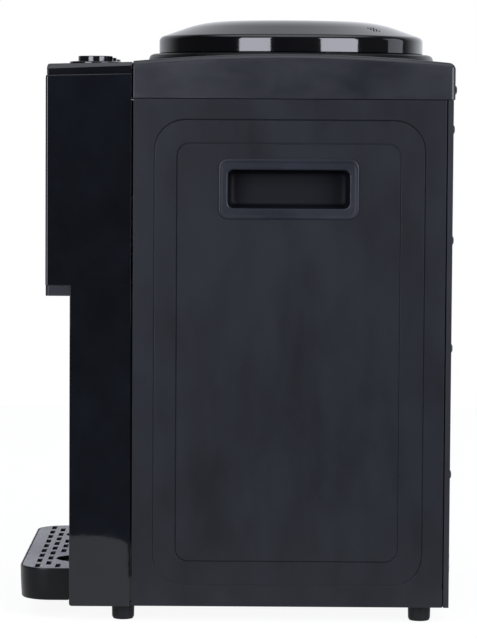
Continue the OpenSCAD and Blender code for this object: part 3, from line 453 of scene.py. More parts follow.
def circle(x, y, radius, count):
    turns = [2 * math.pi * i / count for i in range(count)]
    return [(x + radius * math.cos(t), y + radius * math.sin(t)) for t in turns]


def arc(centre, radius, start, end, count):
    turns = [between(start, end, i / count) for i in range(count + 1)]
    return [(centre[0] + radius * math.cos(t), centre[1] + radius * math.sin(t)) for t in turns]


def eased(path, steps=4):
    """Rounds the corners of an open path of (a, b, radius) points and returns its (a, b) points."""
    made = [Vector(path[0][:2])]
    for before, here, after in zip(path, path[1:], path[2:]):
        corner = Vector(here[:2])
        back, ahead = Vector(before[:2]) - corner, Vector(after[:2]) - corner
        turn = back.angle(ahead)
        if here[2] == 0 or turn > STRAIGHT:
            made.append(corner)
            continue
        run = min(here[2] / math.tan(turn / 2), LONGEST_EASE * back.length, LONGEST_EASE * ahead.length)
        start, end = corner + run * back.normalized(), corner + run * ahead.normalized()
        for i in range(steps + 1):
            t = i / steps
            made.append((1 - t) ** 2 * start + 2 * t * (1 - t) * corner + t ** 2 * end)
    made.append(Vector(path[-1][:2]))
    return [(p[0], p[1]) for p in made]


def outline(a0, a1, b0, b1, radii, steps=6, along=1):
    """Points round a rectangle with round corners, anticlockwise from the low corner."""
    corners = ((a0, b0, 1, 1, 180), (a1, b0, -1, 1, 270), (a1, b1, -1, -1, 0), (a0, b1, 1, -1, 90))
    arcs = []
    for (a, b, to_a, to_b, start), r in zip(corners, radii):
        start = math.radians(start)
        arcs.append(arc((a + to_a * r, b + to_b * r), r, start, start + QUARTER, steps))
    points = []
    for bend, following in zip(arcs, arcs[1:] + arcs[:1]):
        points += bend
        (a, b), (c, d) = bend[-1], following[0]
        points += [(between(a, c, i / along), between(b, d, i / along)) for i in range(1, along)]
    return points


class Shape:
    """Collects the rings and faces of one piece, and turns them into a mesh that rides with its CAD body."""

    def __init__(self, side=1):
        self.bm = bmesh.new()
        self.side = side

    def ring(self, points):
        return [self.bm.verts.new((self.side * x * MM, y * MM, z * MM)) for x, y, z in points]

    def bridge(self, first, second):
        count = max(len(first), len(second))
        for i in range(count):
            j = (i + 1) % count
            if len(first) == 1:
                self.bm.faces.new((first[0], second[j], second[i]))
            elif len(second) == 1:
                self.bm.faces.new((first[i], first[j], second[0]))
            else:
                self.bm.faces.new((first[i], first[j], second[j], second[i]))

    def loft(self, rings, ends="caps"):
        """Skins over the rings; the ends are capped, joined to each other, or left open."""
        made = [self.ring(points) for points in rings]
        for first, second in zip(made, made[1:]):
            self.bridge(first, second)
        if ends == "join":
            self.bridge(made[-1], made[0])
        elif ends == "caps":
            for end in (made[0], made[-1]):
                if len(end) > 2:
                    self.bm.faces.new(end)
        return made

    def plate(self, rim, holes):
        """Fills a flat face inside the rim, round its holes."""
        edges = []
        for loop in [rim] + holes:
            for first, second in zip(loop, loop[1:] + loop[:1]):
                edges.append(self.bm.edges.get((first, second)) or self.bm.edges.new((first, second)))
        bmesh.ops.triangle_fill(self.bm, use_beauty=True, use_dissolve=False, edges=edges)

    def lathe(self, profile, x, y, segments=64, ends="caps"):
        """Turns (radius, z) points about the upright line through x, y."""
        rings = []
        for r, z in profile:
            loop = circle(x, y, r, segments)
            rings.append([(a, b, z) for a, b in (loop if r > 0 else loop[:1])])
        return self.loft(rings, ends)

    def piece(self, name, node, replaces=True, shown=None):
        """The finished object. It takes over its CAD node's body, slot and finish, and mostly its place."""
        bmesh.ops.recalc_face_normals(self.bm, faces=self.bm.faces)
        mesh = bpy.data.meshes.new(name)
        self.bm.to_mesh(mesh)
        self.bm.free()
        mesh.shade_smooth()
        mesh.set_sharp_from_angle(angle=SHARP_ANGLE)
        made = bpy.data.objects.new(name, mesh)
        scene.collection.objects.link(made)
        flat = made.modifiers.new("flats", "WEIGHTED_NORMAL")
        flat.keep_sharp = True
        mesh.materials.append(materials[shown or slot_of[node]])
        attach(made, nodes[node]["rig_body"])
        if replaces:
            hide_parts(node)
        return made


# ---------------------------------------------------------------- head, column and button panel
# In profiles an inset is measured inwards from a piece's outline, and a rise or drop up or down.
CORNER_RADIUS = 2.0
LEAST_RADIUS = 0.8
BACK_RADIUS = 0.1
SEAM_FRONT_Z, SEAM_BACK_Z = 467.3, 469
SEAM_EASE = 0.25
FASCIA_WALL = 3
FASCIA_FOOT = 0.4
FASCIA_BACK_EASE = 0.3
TOP_ROUND = ((0, 1.6), (0.06, 1.2), (0.2, 0.8), (0.5, 0.35), (0.9, 0.08), (1.5, 0))   # inset, drop
TOP_SCALE_FRONT, TOP_SCALE_BACK = 1.5, 0.6

COLUMN_FRONT = -143.4
CHEEK_WIDTH = 8.5
CHEEK_LAP = 0.01
CHEEK_RADII = (LEAST_RADIUS, 0.5, BACK_RADIUS, BACK_RADIUS)
# Rise, inset and front inset of the column's rounded foot.
CHEEK_FOOT = ((0, 0.5, 2.2), (0.15, 0.2, 1.5), (0.6, 0, 0.6), (1.3, 0, 0.2), (2.4, 0, 0))
BAY_BACK = -57
BAY_WALL, BAY_WALL_RISE, BAY_WALL_DROP = 2.5, 4, 9.3
BAY_WALL_LAP = 1
BAY_WALL_RADIUS = 0.3

PANEL_FRONT_Z, PANEL_BACK_Z = 476.6, 478.6
PANEL_CHAMFER = 3.4
PANEL_SETBACK = 0.6
PANEL_GAP = 0.1
PANEL_SCALE_FRONT, PANEL_SCALE_BACK = 1.3, 0.95
# Side inset, front inset and drop, from the chamfer's foot to its crest.
PANEL_ROUND = ((0, 0, PANEL_CHAMFER + 0.2), (0.2, 0.02, PANEL_CHAMFER - 0.3), (1.5, 0.1, 1.9),
               (PANEL_CHAMFER - 1.0, 0.45, 0.95), (PANEL_CHAMFER - 0.35, 0.9, 0.32))
PANEL_CREST = (PANEL_CHAMFER, 1.6, 0, 0.15)   # the same, and the back's inset
PANEL_UNDER = (PANEL_CHAMFER + 1.5, FASCIA_WALL + 1, FASCIA_WALL, FASCIA_WALL)   # likewise, for its underside
PANEL_FOOT_EASE = 0.3
PANEL_BACK_RADIUS = 0.15
PANEL_HOLE_GAP = 0.2


def front_fascia():
    low, high = box_mm("front_fascia")
    back_y = box_mm("button_panel")[1].y
    half = high.x
    head_z = box_mm("head_underplate")[1].z

    def share(y):
        return (y - low.y) / (back_y - low.y)

    def plan(inset):
        front = max(CORNER_RADIUS - inset, LEAST_RADIUS)
        back = back_y - SEAM_EASE - min(inset, FASCIA_BACK_EASE)
        return outline(-half + inset, half - inset, low.y + inset, back,
                       [front, front, BACK_RADIUS, BACK_RADIUS], steps=10, along=6)

    def flat(inset, z):
        return [(x, y, z) for x, y in plan(inset)]

    def top(inset, drop):
        made = []
        for x, y in plan(inset):
            seam_z = between(SEAM_FRONT_Z, SEAM_BACK_Z, share(y))
            made.append((x, y, seam_z - drop * between(TOP_SCALE_FRONT, TOP_SCALE_BACK, share(y))))
        return made

    rings = [flat(FASCIA_WALL, head_z), flat(FASCIA_FOOT, head_z), flat(0, head_z + FASCIA_FOOT)]
    rings += [top(inset, drop) for inset, drop in TOP_ROUND] + [top(FASCIA_WALL, 0)]
    shape = Shape()
    shape.loft(rings, ends="join")
    for side in (1, -1):
        cheek(shape, side, half, low.z, head_z + CHEEK_LAP, back_y)
    shape.piece("front_fascia_skin", "front_fascia")


def cheek(shape, side, half, foot_z, top_z, back_y):
    """One side of the cup bay, with the thin wall behind it that closes the bay's side."""
    inner = half - CHEEK_WIDTH

    def ring(z, inset, front_inset):
        loop = outline(inner + inset, half - inset, COLUMN_FRONT + front_inset, back_y - SEAM_EASE - inset,
                       CHEEK_RADII, steps=10)
        return [(side * x, y, z) for x, y in loop]

    shape.loft([ring(foot_z + rise, *insets) for rise, *insets in CHEEK_FOOT] + [ring(top_z, 0, 0)])
    wall = outline(inner, inner + BAY_WALL, back_y - BAY_WALL_LAP, BAY_BACK, [BAY_WALL_RADIUS] * 4, steps=2)
    levels = (foot_z + BAY_WALL_RISE, top_z - BAY_WALL_DROP)
    shape.loft([[(side * x, y, z) for x, y in wall] for z in levels])


def button_panel():
    low, high = box_mm("button_panel")
    half = high.x
    front = max(0.5 * CORNER_RADIUS, LEAST_RADIUS)

    def share(y):
        return (y - low.y) / (high.y - low.y)

    def seam_z(y):
        return between(SEAM_FRONT_Z, SEAM_BACK_Z, share(y)) + PANEL_GAP

    def top_z(y):
        return between(PANEL_FRONT_Z, PANEL_BACK_Z, share(y))

    def plan(side_in, front_in, back_in=0.0):
        return outline(-half + side_in, half - side_in, low.y + PANEL_SETBACK + front_in, high.y - back_in,
                       [front, front, PANEL_BACK_RADIUS, PANEL_BACK_RADIUS], steps=10, along=6)

    def foot(inset, rise=0.0):
        return [(x, y, seam_z(y) + rise) for x, y in plan(inset, inset)]

    def level(side_in, front_in, drop, back_in=0.0):
        made = []
        for x, y in plan(side_in, front_in, back_in):
            made.append((x, y, top_z(y) - drop * between(PANEL_SCALE_FRONT, PANEL_SCALE_BACK, share(y))))
        return made

    shape = Shape()
    rings = [foot(FASCIA_WALL), foot(PANEL_FOOT_EASE), foot(0, rise=PANEL_FOOT_EASE)]
    rings += [level(*step) for step in PANEL_ROUND] + [level(*PANEL_CREST)]
    made = shape.loft(rings, ends="open")
    under = shape.ring(level(*PANEL_UNDER))
    shape.bridge(under, made[0])
    tops, unders = [], []
    for name in ("cold", "room", "hot"):
        ring_x, ring_y, ring_r = middle_and_radius("button_ring_" + name)
        hole = circle(ring_x, ring_y, ring_r + PANEL_HOLE_GAP, 64)
        tops.append(shape.ring([(x, y, top_z(y)) for x, y in hole]))
        unders.append(shape.ring([(x, y, top_z(y) - FASCIA_WALL) for x, y in hole]))
        shape.bridge(tops[-1], unders[-1])
    shape.plate(made[-1], tops)
    shape.plate(under, unders)
    shape.piece("button_panel_skin", "button_panel")


# ---------------------------------------------------------------- side panels and handles
SIDE_SHEET = 3
SIDE_EDGE = ((SIDE_SHEET, 0.2), (0.5, 0), (0.2, 0.06), (0.05, 0.2), (0, 0.5))   # depth, inset
SIDE_RADIUS = 0.3
SIDE_TOP_EASE = 0.6 * SEAM_EASE
OUTER_LINE = (-72.4, 159.1, 30.9, 430.7, 27)   # y from and to, z from and to, corner radius
INNER_LINE = (-52.9, 138.1, 52.3, 410.2, 11)
LINE_LEAST_RADIUS = 1
# Inset and depth of the small steps into and out of the sunken band between the two lines.
STEP_DOWN = ((-0.2, 0), (0, 0.15), (0.9, 1.25), (1.15, 1.4), (1.5, 1.25))
STEP_UP = ((-0.6, 1.25), (-0.25, 1.4), (0, 1.25), (0.9, 0.15), (1.1, 0))
HOLE_INSET, HOLE_RADIUS = 4, 6

HANDLE_PROUD = 1.2
# Depth below the frame's crest, inset and corner radius, from behind the panel to the pocket's mouth.
HANDLE_FRAME = ((HANDLE_PROUD + 4, 4.6, 4.5), (HANDLE_PROUD + 0.02, 4.4, 4.5), (HANDLE_PROUD - 0.02, 0, 8),
                (0.5, 0.1, 8), (0.15, 0.4, 7.7), (0, 1.0, 7.2), (0, 2.2, 6.2), (0.25, 3.0, 5.4),
                (0.35, 4.2, 5))
HANDLE_WALL, HANDLE_FOOT = 7.9, 9.5
HANDLE_DEPTH = 24
HANDLE_LEAN = 0.06 * HANDLE_DEPTH
POCKET_RADIUS = 5
POCKET_MOUTH = ((-0.85, -1.2, 5.8), (-0.6, -0.5, 5.4), (0, 0, POCKET_RADIUS))   # depth, shrink, radius
POCKET_SHARES = (0.3, 0.6, 0.85)
POCKET_FLOOR = ((3.0, 0.2), (1.6, 0.8), (0.7, 1.8), (0.2, 3.2), (0, 5.0))   # height over the floor, shrink
POCKET_BACK = ((HANDLE_DEPTH + 1.5, HANDLE_LEAN - 1.2, 5), (4, -1.6, 6))
# The depth past which the pocket takes the darker finish that paints its shade.
POCKET_SHADE = 1


def line_rings(face_x, line, profile):
    y0, y1, z0, z1, r = line
    rings = []
    for inset, depth in profile:
        radius = max(r - inset, LINE_LEAST_RADIUS)
        loop = outline(y0 + inset, y1 - inset, z0 + inset, z1 - inset, [radius] * 4)
        rings.append([(face_x - depth, y, z) for y, z in loop])
    return rings


def side_panel(side, hand):
    node = "side_panel_" + hand
    low, high = box_mm(node)
    handle_low, handle_high = box_mm("handle_cup_" + hand)
    face_x = max(abs(low.x), abs(high.x))

    def edge(depth, inset):
        loop = outline(low.y + SEAM_EASE + inset, high.y - inset, low.z + inset,
                       high.z - SIDE_TOP_EASE - inset, [SIDE_RADIUS] * 4)
        return [(face_x - depth, y, z) for y, z in loop]

    hole = outline(handle_low.y + HOLE_INSET, handle_high.y - HOLE_INSET, handle_low.z + HOLE_INSET,
                   handle_high.z - HOLE_INSET, [HOLE_RADIUS] * 4)
    rings = [edge(*step) for step in SIDE_EDGE]
    rings += line_rings(face_x, OUTER_LINE, STEP_DOWN) + line_rings(face_x, INNER_LINE, STEP_UP)
    rings += [[(face_x - depth, y, z) for y, z in hole] for depth in (0, SIDE_SHEET)]
    shape = Shape(side)
    shape.loft(rings, ends="join")
    shape.piece(node + "_skin", node)


def handle_cup(side, hand):
    """The frame that stands proud of the panel, and the finger pocket, which gets a duller, darker finish;
    its darker colour is painted shade for the recess.
    """
    node = "handle_cup_" + hand
    low, high = box_mm(node)
    proud_x = max(abs(low.x), abs(high.x))
    face_x = proud_x - HANDLE_PROUD

    def frame_ring(depth, inset, radius):
        loop = outline(low.y + inset, high.y - inset, low.z + inset, high.z - inset, [radius] * 4)
        return [(proud_x - depth, y, z) for y, z in loop]

    def pocket_ring(depth, shrink, radius):
        y0, y1 = low.y + HANDLE_WALL + shrink, high.y - HANDLE_WALL - shrink
        z0, z1 = low.z + HANDLE_FOOT + shrink, high.z - HANDLE_FOOT - shrink
        return [(face_x - depth, y, z) for y, z in outline(y0, y1, z0, z1, [radius] * 4)]

    rings = [frame_ring(*step) for step in HANDLE_FRAME] + [pocket_ring(*step) for step in POCKET_MOUTH]
    rings += [pocket_ring(t * HANDLE_DEPTH, t * HANDLE_LEAN, POCKET_RADIUS) for t in POCKET_SHARES]
    for height, shrink in POCKET_FLOOR:
        radius = POCKET_RADIUS - 0.5 * shrink
        rings.append(pocket_ring(HANDLE_DEPTH - height, HANDLE_LEAN + shrink, radius))
    shape = Shape(side)
    made = shape.loft(rings, ends="open")
    shape.bm.faces.new(made[-1])
    back = shape.loft([pocket_ring(*step) for step in POCKET_BACK], ends="open")
    shape.bm.faces.new(back[0])
    shape.bridge(back[-1], made[0])
    cup = shape.piece(node + "_skin", node)
    cup.data.materials.append(materials["pocket_painted_shade"])
    # Faces deeper in the pocket than the shade depth take the darker finish: painted shade.
    for face in cup.data.polygons:
        if abs(face.center.x) < (face_x - POCKET_SHADE) * MM:
            face.material_index = 1


# ---------------------------------------------------------------- top cover
ARCH_MIDDLE_Y = 44
ARCH_RADIUS = 1414
COVER_GAP = 0.1
COVER_FOOT = ((0.5, 0), (0.1, 0.2), (0, 0.7))   # inset, rise
COVER_FILLET = 5.5
COVER_FILLET_STEPS = 6
COVER_FRONT_EASE = 0.35
COVER_FRONT_RADIUS, COVER_BACK_RADIUS = 0.8, 3.5
COVER_LEAST_FRONT, COVER_LEAST_BACK = 0.3, 0.5
COVER_WALL = 3
COVER_UNDER = ((COVER_WALL + 1.5, COVER_WALL + 2.5), (COVER_WALL, COVER_FILLET + 2.5))   # inset, drop
COVER_SHARES = (0.15, 0.4, 0.7, 0.9)
SEAT_RADIUS = 129.4
SEAT_LIP = ((1.2, 0), (0.3, 0.25), (0, 0.9))   # wider than the seat by, drop
SEAT_DEPTH, SEAT_SHEET = 6.2, 4
SEAT_HOLE = 112


def top_cover():
    low, high = box_mm("top_cover")
    foot_z = box_mm("side_panel_right")[1].z + COVER_GAP
    _, middle_y, _ = middle_and_radius("bottle_receiver")
    seat_z = high.z - SEAT_DEPTH

    def arch_z(y):
        return high.z - ARCH_RADIUS + math.sqrt(ARCH_RADIUS ** 2 - (y - ARCH_MIDDLE_Y) ** 2)

    def plan(inset, front_inset):
        front = max(COVER_FRONT_RADIUS - front_inset, COVER_LEAST_FRONT)
        back = max(COVER_BACK_RADIUS - inset, COVER_LEAST_BACK)
        return outline(low.x + inset, high.x - inset, low.y + front_inset, high.y - inset,
                       [front, front, back, back], steps=6, along=44)

    def level(inset, z):
        return [(x, y, z) for x, y in plan(inset, inset)]

    def fillet_ring(turn):
        loop = plan(COVER_FILLET * (1 - math.cos(turn)), COVER_FRONT_EASE * (1 - math.cos(turn)) ** 3)
        return [(x, y, arch_z(y) - COVER_FILLET * (1 - math.sin(turn))) for x, y in loop]

    def round_ring(radius, z=None, drop=0.0):
        """A circle about the lid's axis, at a height or below the arch, with as many points as the plan."""
        points = []
        for x, y in plan(COVER_FILLET, COVER_FRONT_EASE):
            away = Vector((x, y - middle_y)).normalized() * radius
            ring_y = middle_y + away.y
            points.append((away.x, ring_y, arch_z(ring_y) - drop if z is None else z))
        return points

    def part_way(first, last, share):
        made = []
        for p, q in zip(first, last):
            y = between(p[1], q[1], share)
            made.append((between(p[0], q[0], share), y, arch_z(y)))
        return made

    def under(inset, drop):
        return [(x, y, arch_z(y) - drop) for x, y in plan(inset, COVER_WALL)]

    rings = [level(COVER_WALL, foot_z)] + [level(inset, foot_z + rise) for inset, rise in COVER_FOOT]
    rings += [fillet_ring(QUARTER * i / COVER_FILLET_STEPS) for i in range(COVER_FILLET_STEPS + 1)]
    shoulder = rings[-1]
    lip = [round_ring(SEAT_RADIUS + wider, drop=drop) for wider, drop in SEAT_LIP]
    rings += [part_way(shoulder, lip[0], share) for share in COVER_SHARES] + lip
    rings += [round_ring(radius, seat_z) for radius in (SEAT_RADIUS, SEAT_HOLE)]
    rings += [round_ring(radius, seat_z - SEAT_SHEET) for radius in (SEAT_HOLE, SEAT_RADIUS + COVER_WALL)]
    rings += [under(*step) for step in COVER_UNDER]
    shape = Shape()
    shape.loft(rings, ends="join")
    shape.piece("top_cover_skin", "top_cover")


# ---------------------------------------------------------------- collar and lid
RECEIVER_WALL = 3
COLLAR_IN, COLLAR_DROP, COLLAR_TALL = 1.6, 0.8, 9.3
THROAT = SEAT_HOLE - 1
THROAT_BORE = THROAT - RECEIVER_WALL
THROAT_FOOT_Z = 470
COLLAR_SIDE = ((0.2, 0, 0.6), (0.3, 4.6, 2.0))   # inside the rim by, rise over the seat, corner radius
COLLAR_TOP = ((1.6, 1.4, 1.3), (4.2, 0.2, 2.0), (10, 0, 0))   # inside the rim by, drop, corner radius
THROAT_EDGE = ((0.3, 0, 0.6), (0, 3, 0))   # wider than the bore by, drop, corner radius
SPIKE_BORE, SPIKE_RADIUS, SPIKE_SEAT_Z = 7.5, 10, 395
# Radius, height over the table and corner radius, down the funnel to the spike's bore.
FUNNEL = ((THROAT_BORE, 478, 0), (THROAT_BORE, 473, 6), (32, 452, 2), (30, 451, 0), (30, 432, 0),
          (27, 429, 0), (27, SPIKE_SEAT_Z, 1), (SPIKE_BORE, SPIKE_SEAT_Z, 0.5))
NECK_RADIUS, NECK_TOP_Z = 33, 446
NECK_FOOT_RISE = 16

CROWN_RADIUS = 2400
SHOULDER_RADIUS = 112
RIM_RADIUS = 5
CROWN_START = math.radians(89.9)
CROWN_END = math.radians(90 - 1.45)
CONE_TILT = math.radians(90 - 19.5)
LID_WALL = 2.5
LID_GAP = 0.3
LID_FOOT = ((0, 0.6), (0.6, 0), (LID_WALL - 0.3, 0), (LID_WALL, 0.5))   # inside the rim by, rise
# How far inside the throat's bore, and rise over the lid's foot, round the locating skirt.
SKIRT = ((-6, 3.7), (0.5, 3.7), (0.5, -3.1), (3, -3.1), (3, 5.7), (-6, 5.7))
VENT_MIDDLE = (69.5, 117)   # x, y
VENT_PITCH = 3.5
VENT_RADIUS = 0.6
# How much wider than the vent, and rise over the lid's skin, from below the skin to the cup's floor.
VENT_PROFILE = ((0, -1.2), (0.25, -0.4), (0.15, 0.34), (-0.1, 0.28), (-0.25, 0.2), (-VENT_RADIUS, 0.2))


def bottle_receiver():
    low, high = box_mm("bottle_receiver")
    _, middle_y, radius = middle_and_radius("bottle_receiver")
    rim_r, top_z, seat_z = radius - COLLAR_IN, high.z - COLLAR_DROP, high.z - COLLAR_TALL
    outer = [(THROAT, THROAT_FOOT_Z, 0), (THROAT, seat_z, 0)]
    outer += [(rim_r - inwards, seat_z + rise, r) for inwards, rise, r in COLLAR_SIDE]
    outer += [(rim_r - inwards, top_z - drop, r) for inwards, drop, r in COLLAR_TOP]
    outer += [(THROAT_BORE + wider, top_z - drop, r) for wider, drop, r in THROAT_EDGE]
    inner = eased(FUNNEL + ((SPIKE_BORE, low.z, 0),))
    neck_foot_z = low.z + NECK_FOOT_RISE
    under = [(SPIKE_RADIUS, low.z), (SPIKE_RADIUS, neck_foot_z), (NECK_RADIUS, neck_foot_z),
             (NECK_RADIUS, NECK_TOP_Z), (NECK_RADIUS + RECEIVER_WALL, NECK_TOP_Z)]
    shape = Shape()
    shape.lathe(eased(outer) + inner + under, 0, middle_y, segments=144, ends="join")
    shape.piece("bottle_receiver_skin", "bottle_receiver")


def lid_dome(radius, top_z, inset):
    """The lid from the middle outwards: a nearly flat crown, a bent shoulder, a cone and a round rim."""
    crown = (0, top_z - CROWN_RADIUS)
    reach = CROWN_RADIUS - SHOULDER_RADIUS
    shoulder = (reach * math.cos(CROWN_END), crown[1] + reach * math.sin(CROWN_END))
    out, up = math.cos(CONE_TILT), math.sin(CONE_TILT)
    run = (radius - RIM_RADIUS - (shoulder[0] + (SHOULDER_RADIUS - RIM_RADIUS) * out)) / up
    rim = (radius - RIM_RADIUS, shoulder[1] + (SHOULDER_RADIUS - RIM_RADIUS) * up - run * out)
    dome = [(0, top_z - inset)] + arc(crown, CROWN_RADIUS - inset, CROWN_START, CROWN_END, 8)
    dome += arc(shoulder, SHOULDER_RADIUS - inset, CROWN_END, CONE_TILT, 14)[1:]
    return dome + arc(rim, RIM_RADIUS - inset, CONE_TILT, 0, 10)


def lid():
    top_z = box_mm("lid")[1].z
    _, middle_y, radius = middle_and_radius("lid")
    foot_z = box_mm("bottle_receiver")[1].z - COLLAR_DROP + LID_GAP
    outside = lid_dome(radius, top_z, 0)
    foot = [(radius - inwards, foot_z + rise) for inwards, rise in LID_FOOT]
    skirt = [(THROAT_BORE - inwards, foot_z + rise) for inwards, rise in SKIRT]
    inside = lid_dome(radius, top_z, LID_WALL)[:-1]
    shape = Shape()
    shape.lathe(outside + foot + skirt + inside[::-1], 0, middle_y, segments=192, ends="open")
    shape.piece("lid_skin", "lid")
    lid_vents(middle_y, outside)


def lid_vents(middle_y, outside):
    """Nine small round vents in a square on the lid's shoulder, set square to its rim; each is a shallow cup
    whose matte black floor is painted shade standing in for the open hole.
    """
    def skin_z(x, y):
        reach = math.hypot(x, y - middle_y)
        for (r0, z0), (r1, z1) in zip(outside, outside[1:]):
            if r0 <= reach <= r1:
                return between(z0, z1, (reach - r0) / (r1 - r0))
        return outside[0][1]

    outward = Vector((VENT_MIDDLE[0], VENT_MIDDLE[1] - middle_y)).normalized()
    for row in (-1, 0, 1):
        for column in (-1, 0, 1):
            x = VENT_MIDDLE[0] + VENT_PITCH * (row * outward.x - column * outward.y)
            y = VENT_MIDDLE[1] + VENT_PITCH * (row * outward.y + column * outward.x)
            z = skin_z(x, y)
            shape = Shape()
            shape.lathe([(VENT_RADIUS + wider, z + rise) for wider, rise in VENT_PROFILE], x, y, segments=16)
            name = "lid_vent_%d%d" % (row + 2, column + 2)
            shape.piece(name, "lid", replaces=False, shown="vent_painted_shade")


# ---------------------------------------------------------------- drip tray
TRAY_CORNER, TRAY_LEAST_CORNER, TRAY_BACK_CORNER = 27, 2, 1
TRAY_STEP_Y = -144.8
TRAY_FLOOR = 17
TRAY_STEP_RISE = 0.1
TRAY_FOOT = ((12, 0), (3.5, 0), (2.0, 0.35), (1.2, 1.3), (0.75, 8))   # inset, rise over the foot
# Inset and drop below the top, up the outside, over the rim and down the inside.
TRAY_RIM = ((0.35, 12), (0.12, 3), (0.1, 1.0), (0.2, 0.3), (0.45, 0), (1.2, 0), (1.35, 0.2), (1.4, 2.2),
            (4.0, 2.2), (4.1, 5))
TRAY_BOWL = ((4.6, 5), (5.6, 3.1), (8, 2.5))   # inset, rise over the floor


def drip_tray():
    """The tray; behind the step its underside is raised to just over the height of its floor."""
    low, high = box_mm("drip_tray")
    half = high.x

    def ring(inset, z):
        front = max(TRAY_CORNER - inset, TRAY_LEAST_CORNER)
        loop = outline(-half + inset, half - inset, low.y + inset, high.y - inset,
                       [front, front, TRAY_BACK_CORNER, TRAY_BACK_CORNER], steps=14, along=30)
        return [(x, y, z if y < TRAY_STEP_Y else max(z, TRAY_FLOOR + TRAY_STEP_RISE)) for x, y in loop]

    rings = [ring(inset, low.z + rise) for inset, rise in TRAY_FOOT]
    rings += [ring(inset, high.z - drop) for inset, drop in TRAY_RIM]
    rings += [ring(inset, TRAY_FLOOR + rise) for inset, rise in TRAY_BOWL]
    shape = Shape()
    shape.loft(rings)
    shape.piece("drip_tray_skin", "drip_tray")


# ---------------------------------------------------------------- buttons, feet and screws
STEM_RADIUS = 4
BUTTON_STEM = ((0, 0), (STEM_RADIUS - 0.5, 0), (STEM_RADIUS, 0.5))   # radius, rise
BUTTON_WALL, BUTTON_HOLLOW = 2, 4
BUTTON_FOOT_Z = 471
BUTTON_FOOT = ((BUTTON_WALL, 0), (0.3, 0), (0, 0.4))   # inside the edge by, rise
BUTTON_SIDE_RISE, BUTTON_EDGE = 1, 1.3
BUTTON_DISH, BUTTON_DISH_DROP = 1.4, 0.25
BUTTON_DISH_SHARES = (4.9 / 6, 4 / 6, 3 / 6, 2 / 6, 1 / 6)
DISH_SHARE = 0.86
RING_BORE, RING_SLEEVE, STEM_BORE = 15.3, 17.5, 4.3
RING_PROUD = 3.7
RING_FLOOR = 2.2
RING_EDGE = ((0, 0.4, 0.9), (2.2, 0, 1.0))   # inside the edge by, drop, corner radius
RING_MOUTH = ((0.9, 0.7, 0.5), (0, 1.6, 0))   # wider than the bore by, drop, corner radius
RING_EASE = 0.2
FOOT_GAP = 0.1
FOOT_HOLLOW = 0.5
FOOT_TREAD = ((4.4, 0.5, 0.3), (3.6, 0, 0.3), (1.3, 0, 0.8), (0.3, 2.2, 0.6))   # inwards, height, radius
FOOT_TOP_EDGE = 0.1
STUD_RADIUS, STUD_EDGE = 3, 0.4
SCREW_HEIGHTS = (128.1, 236.3, 328.5, 422.8)
COVER_SCREW_Z = 456.3
SCREW_RADIUS = 3.9
SCREW_SIDES = 16
# Radius and rise, from the middle of the head's round recess over its edge and down the shank.
SCREW = ((0, 0.55), (0.5, 0.55), (0.95, 1.15), (1.3, 1.4), (2.0, 1.36), (3.0, 1.0), (3.6, 0.55),
         (SCREW_RADIUS, 0.05), (1.7, 0.0), (1.7, -9), (0, -9))


def push_buttons():
    for name in ("cold", "room", "hot"):
        node = "button_" + name
        low, high = box_mm(node)
        x, y, r = middle_and_radius(node)
        top = high.z
        path = [(radius, low.z + rise) for radius, rise in BUTTON_STEM]
        path += [(STEM_RADIUS, top - BUTTON_HOLLOW), (r - BUTTON_WALL, top - BUTTON_HOLLOW)]
        path += [(r - inwards, BUTTON_FOOT_Z + rise) for inwards, rise in BUTTON_FOOT]
        path += eased([(r, BUTTON_FOOT_Z + BUTTON_SIDE_RISE, 0), (r, top, BUTTON_EDGE),
                       (r * DISH_SHARE, top - BUTTON_DISH_DROP, 0)], steps=6)
        path += [(r * share, top - BUTTON_DISH * (1 - share ** 2)) for share in BUTTON_DISH_SHARES]
        shape = Shape()
        shape.lathe(path + [(0, top - BUTTON_DISH)], x, y, segments=72)
        shape.piece(node + "_skin", node)
        button_ring(name)


def button_ring(name):
    node = "button_ring_" + name
    low, high = box_mm(node)
    x, y, r = middle_and_radius(node)
    top = high.z
    seat, floor_z = top - RING_PROUD, low.z + RING_FLOOR
    crest = [(r, seat + RING_EASE, 0)]
    crest += [(r - inwards, top - drop, ease) for inwards, drop, ease in RING_EDGE]
    crest += [(RING_BORE + wider, top - drop, ease) for wider, drop, ease in RING_MOUTH]
    path = [(STEM_BORE, low.z), (RING_SLEEVE, low.z), (RING_SLEEVE, seat), (r, seat)]
    path += eased(crest + [(RING_BORE, floor_z, 0)]) + [(STEM_BORE, floor_z)]
    shape = Shape()
    shape.lathe(path, x, y, segments=72, ends="join")
    shape.piece(node + "_skin", node)


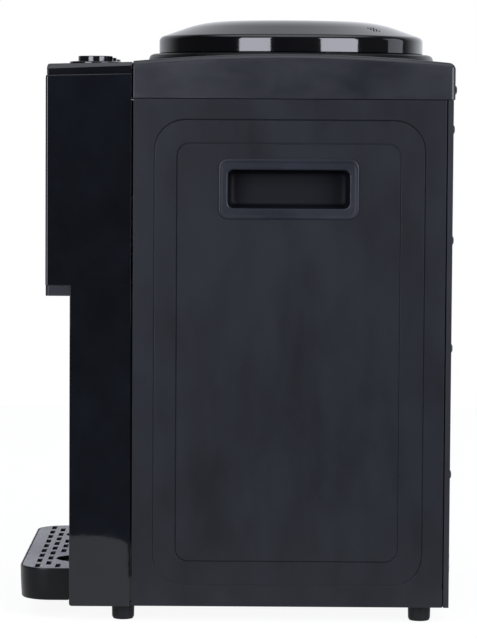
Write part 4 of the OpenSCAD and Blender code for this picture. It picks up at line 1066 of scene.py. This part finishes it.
def feet():
    head_z = box_mm("side_panel_right")[0].z - FOOT_GAP
    for name in ("front_right", "front_left", "rear_right", "rear_left"):
        node = "foot_" + name
        stud_z = box_mm(node)[1].z
        x, y, r = middle_and_radius(node)
        path = [(0, FOOT_HOLLOW, 0)] + [(r - inwards, z, ease) for inwards, z, ease in FOOT_TREAD]
        path += [(r, head_z, FOOT_TOP_EDGE), (STUD_RADIUS, head_z, 0)]
        path += [(STUD_RADIUS, stud_z, STUD_EDGE), (0, stud_z, 0)]
        shape = Shape()
        shape.lathe(eased(path, steps=3), x, y, segments=40, ends="open")
        shape.piece(node + "_skin", node)


def back_screws():
    screw_x = box_mm("back_screws")[1].x - SCREW_RADIUS
    sheet_y = box_mm("back_panel")[1].y
    cover_y = box_mm("top_cover")[1].y
    shape = Shape()
    places = [(z, sheet_y) for z in SCREW_HEIGHTS] + [(COVER_SCREW_Z, cover_y)]
    for side in (1, -1):
        for z, face_y in places:
            rings = []
            for r, rise in SCREW:
                loop = circle(side * screw_x, z, r, SCREW_SIDES)
                rings.append([(a, face_y + rise, b) for a, b in (loop if r > 0 else loop[:1])])
            shape.loft(rings, ends="open")
    shape.piece("back_screws_skin", "back_screws")


# ---------------------------------------------------------------- CAD nodes that stay in sight
EDGE_MM = {"drip_grate": 0, "water_hoses": 0, "lever_pins": 0.2, "head_underplate": 0.9}
PLAIN_EDGE_MM = 0.4
EDGE_ANGLE = math.radians(40)


def soften(item, width_mm):
    """Rounds a piece's sharp edges."""
    bevel = item.modifiers.new("edges", "BEVEL")
    bevel.width = width_mm * MM
    bevel.segments = 2
    bevel.limit_method = "ANGLE"
    bevel.angle_limit = EDGE_ANGLE
    bevel.harden_normals = True
    bevel.use_clamp_overlap = True


def dress_cad_nodes():
    """Every CAD node takes the finish of its material slot, and most get slightly round edges."""
    for row in record["subparts"]:
        name = row["node"]
        node = nodes[name]
        node.data.materials.clear()
        node.data.materials.append(materials[OWN_FINISH.get(name, row["material_slot"])])
        node.data.shade_smooth()
        width = EDGE_MM.get(name, PLAIN_EDGE_MM)
        if width > 0 and "spring" not in name:
            soften(node, width)


make_camera()
make_studio()
make_finishes()
dress_cad_nodes()
front_fascia()
button_panel()
for side, hand in ((1, "right"), (-1, "left")):
    side_panel(side, hand)
    handle_cup(side, hand)
top_cover()
bottle_receiver()
lid()
drip_tray()
push_buttons()
feet()
back_screws()
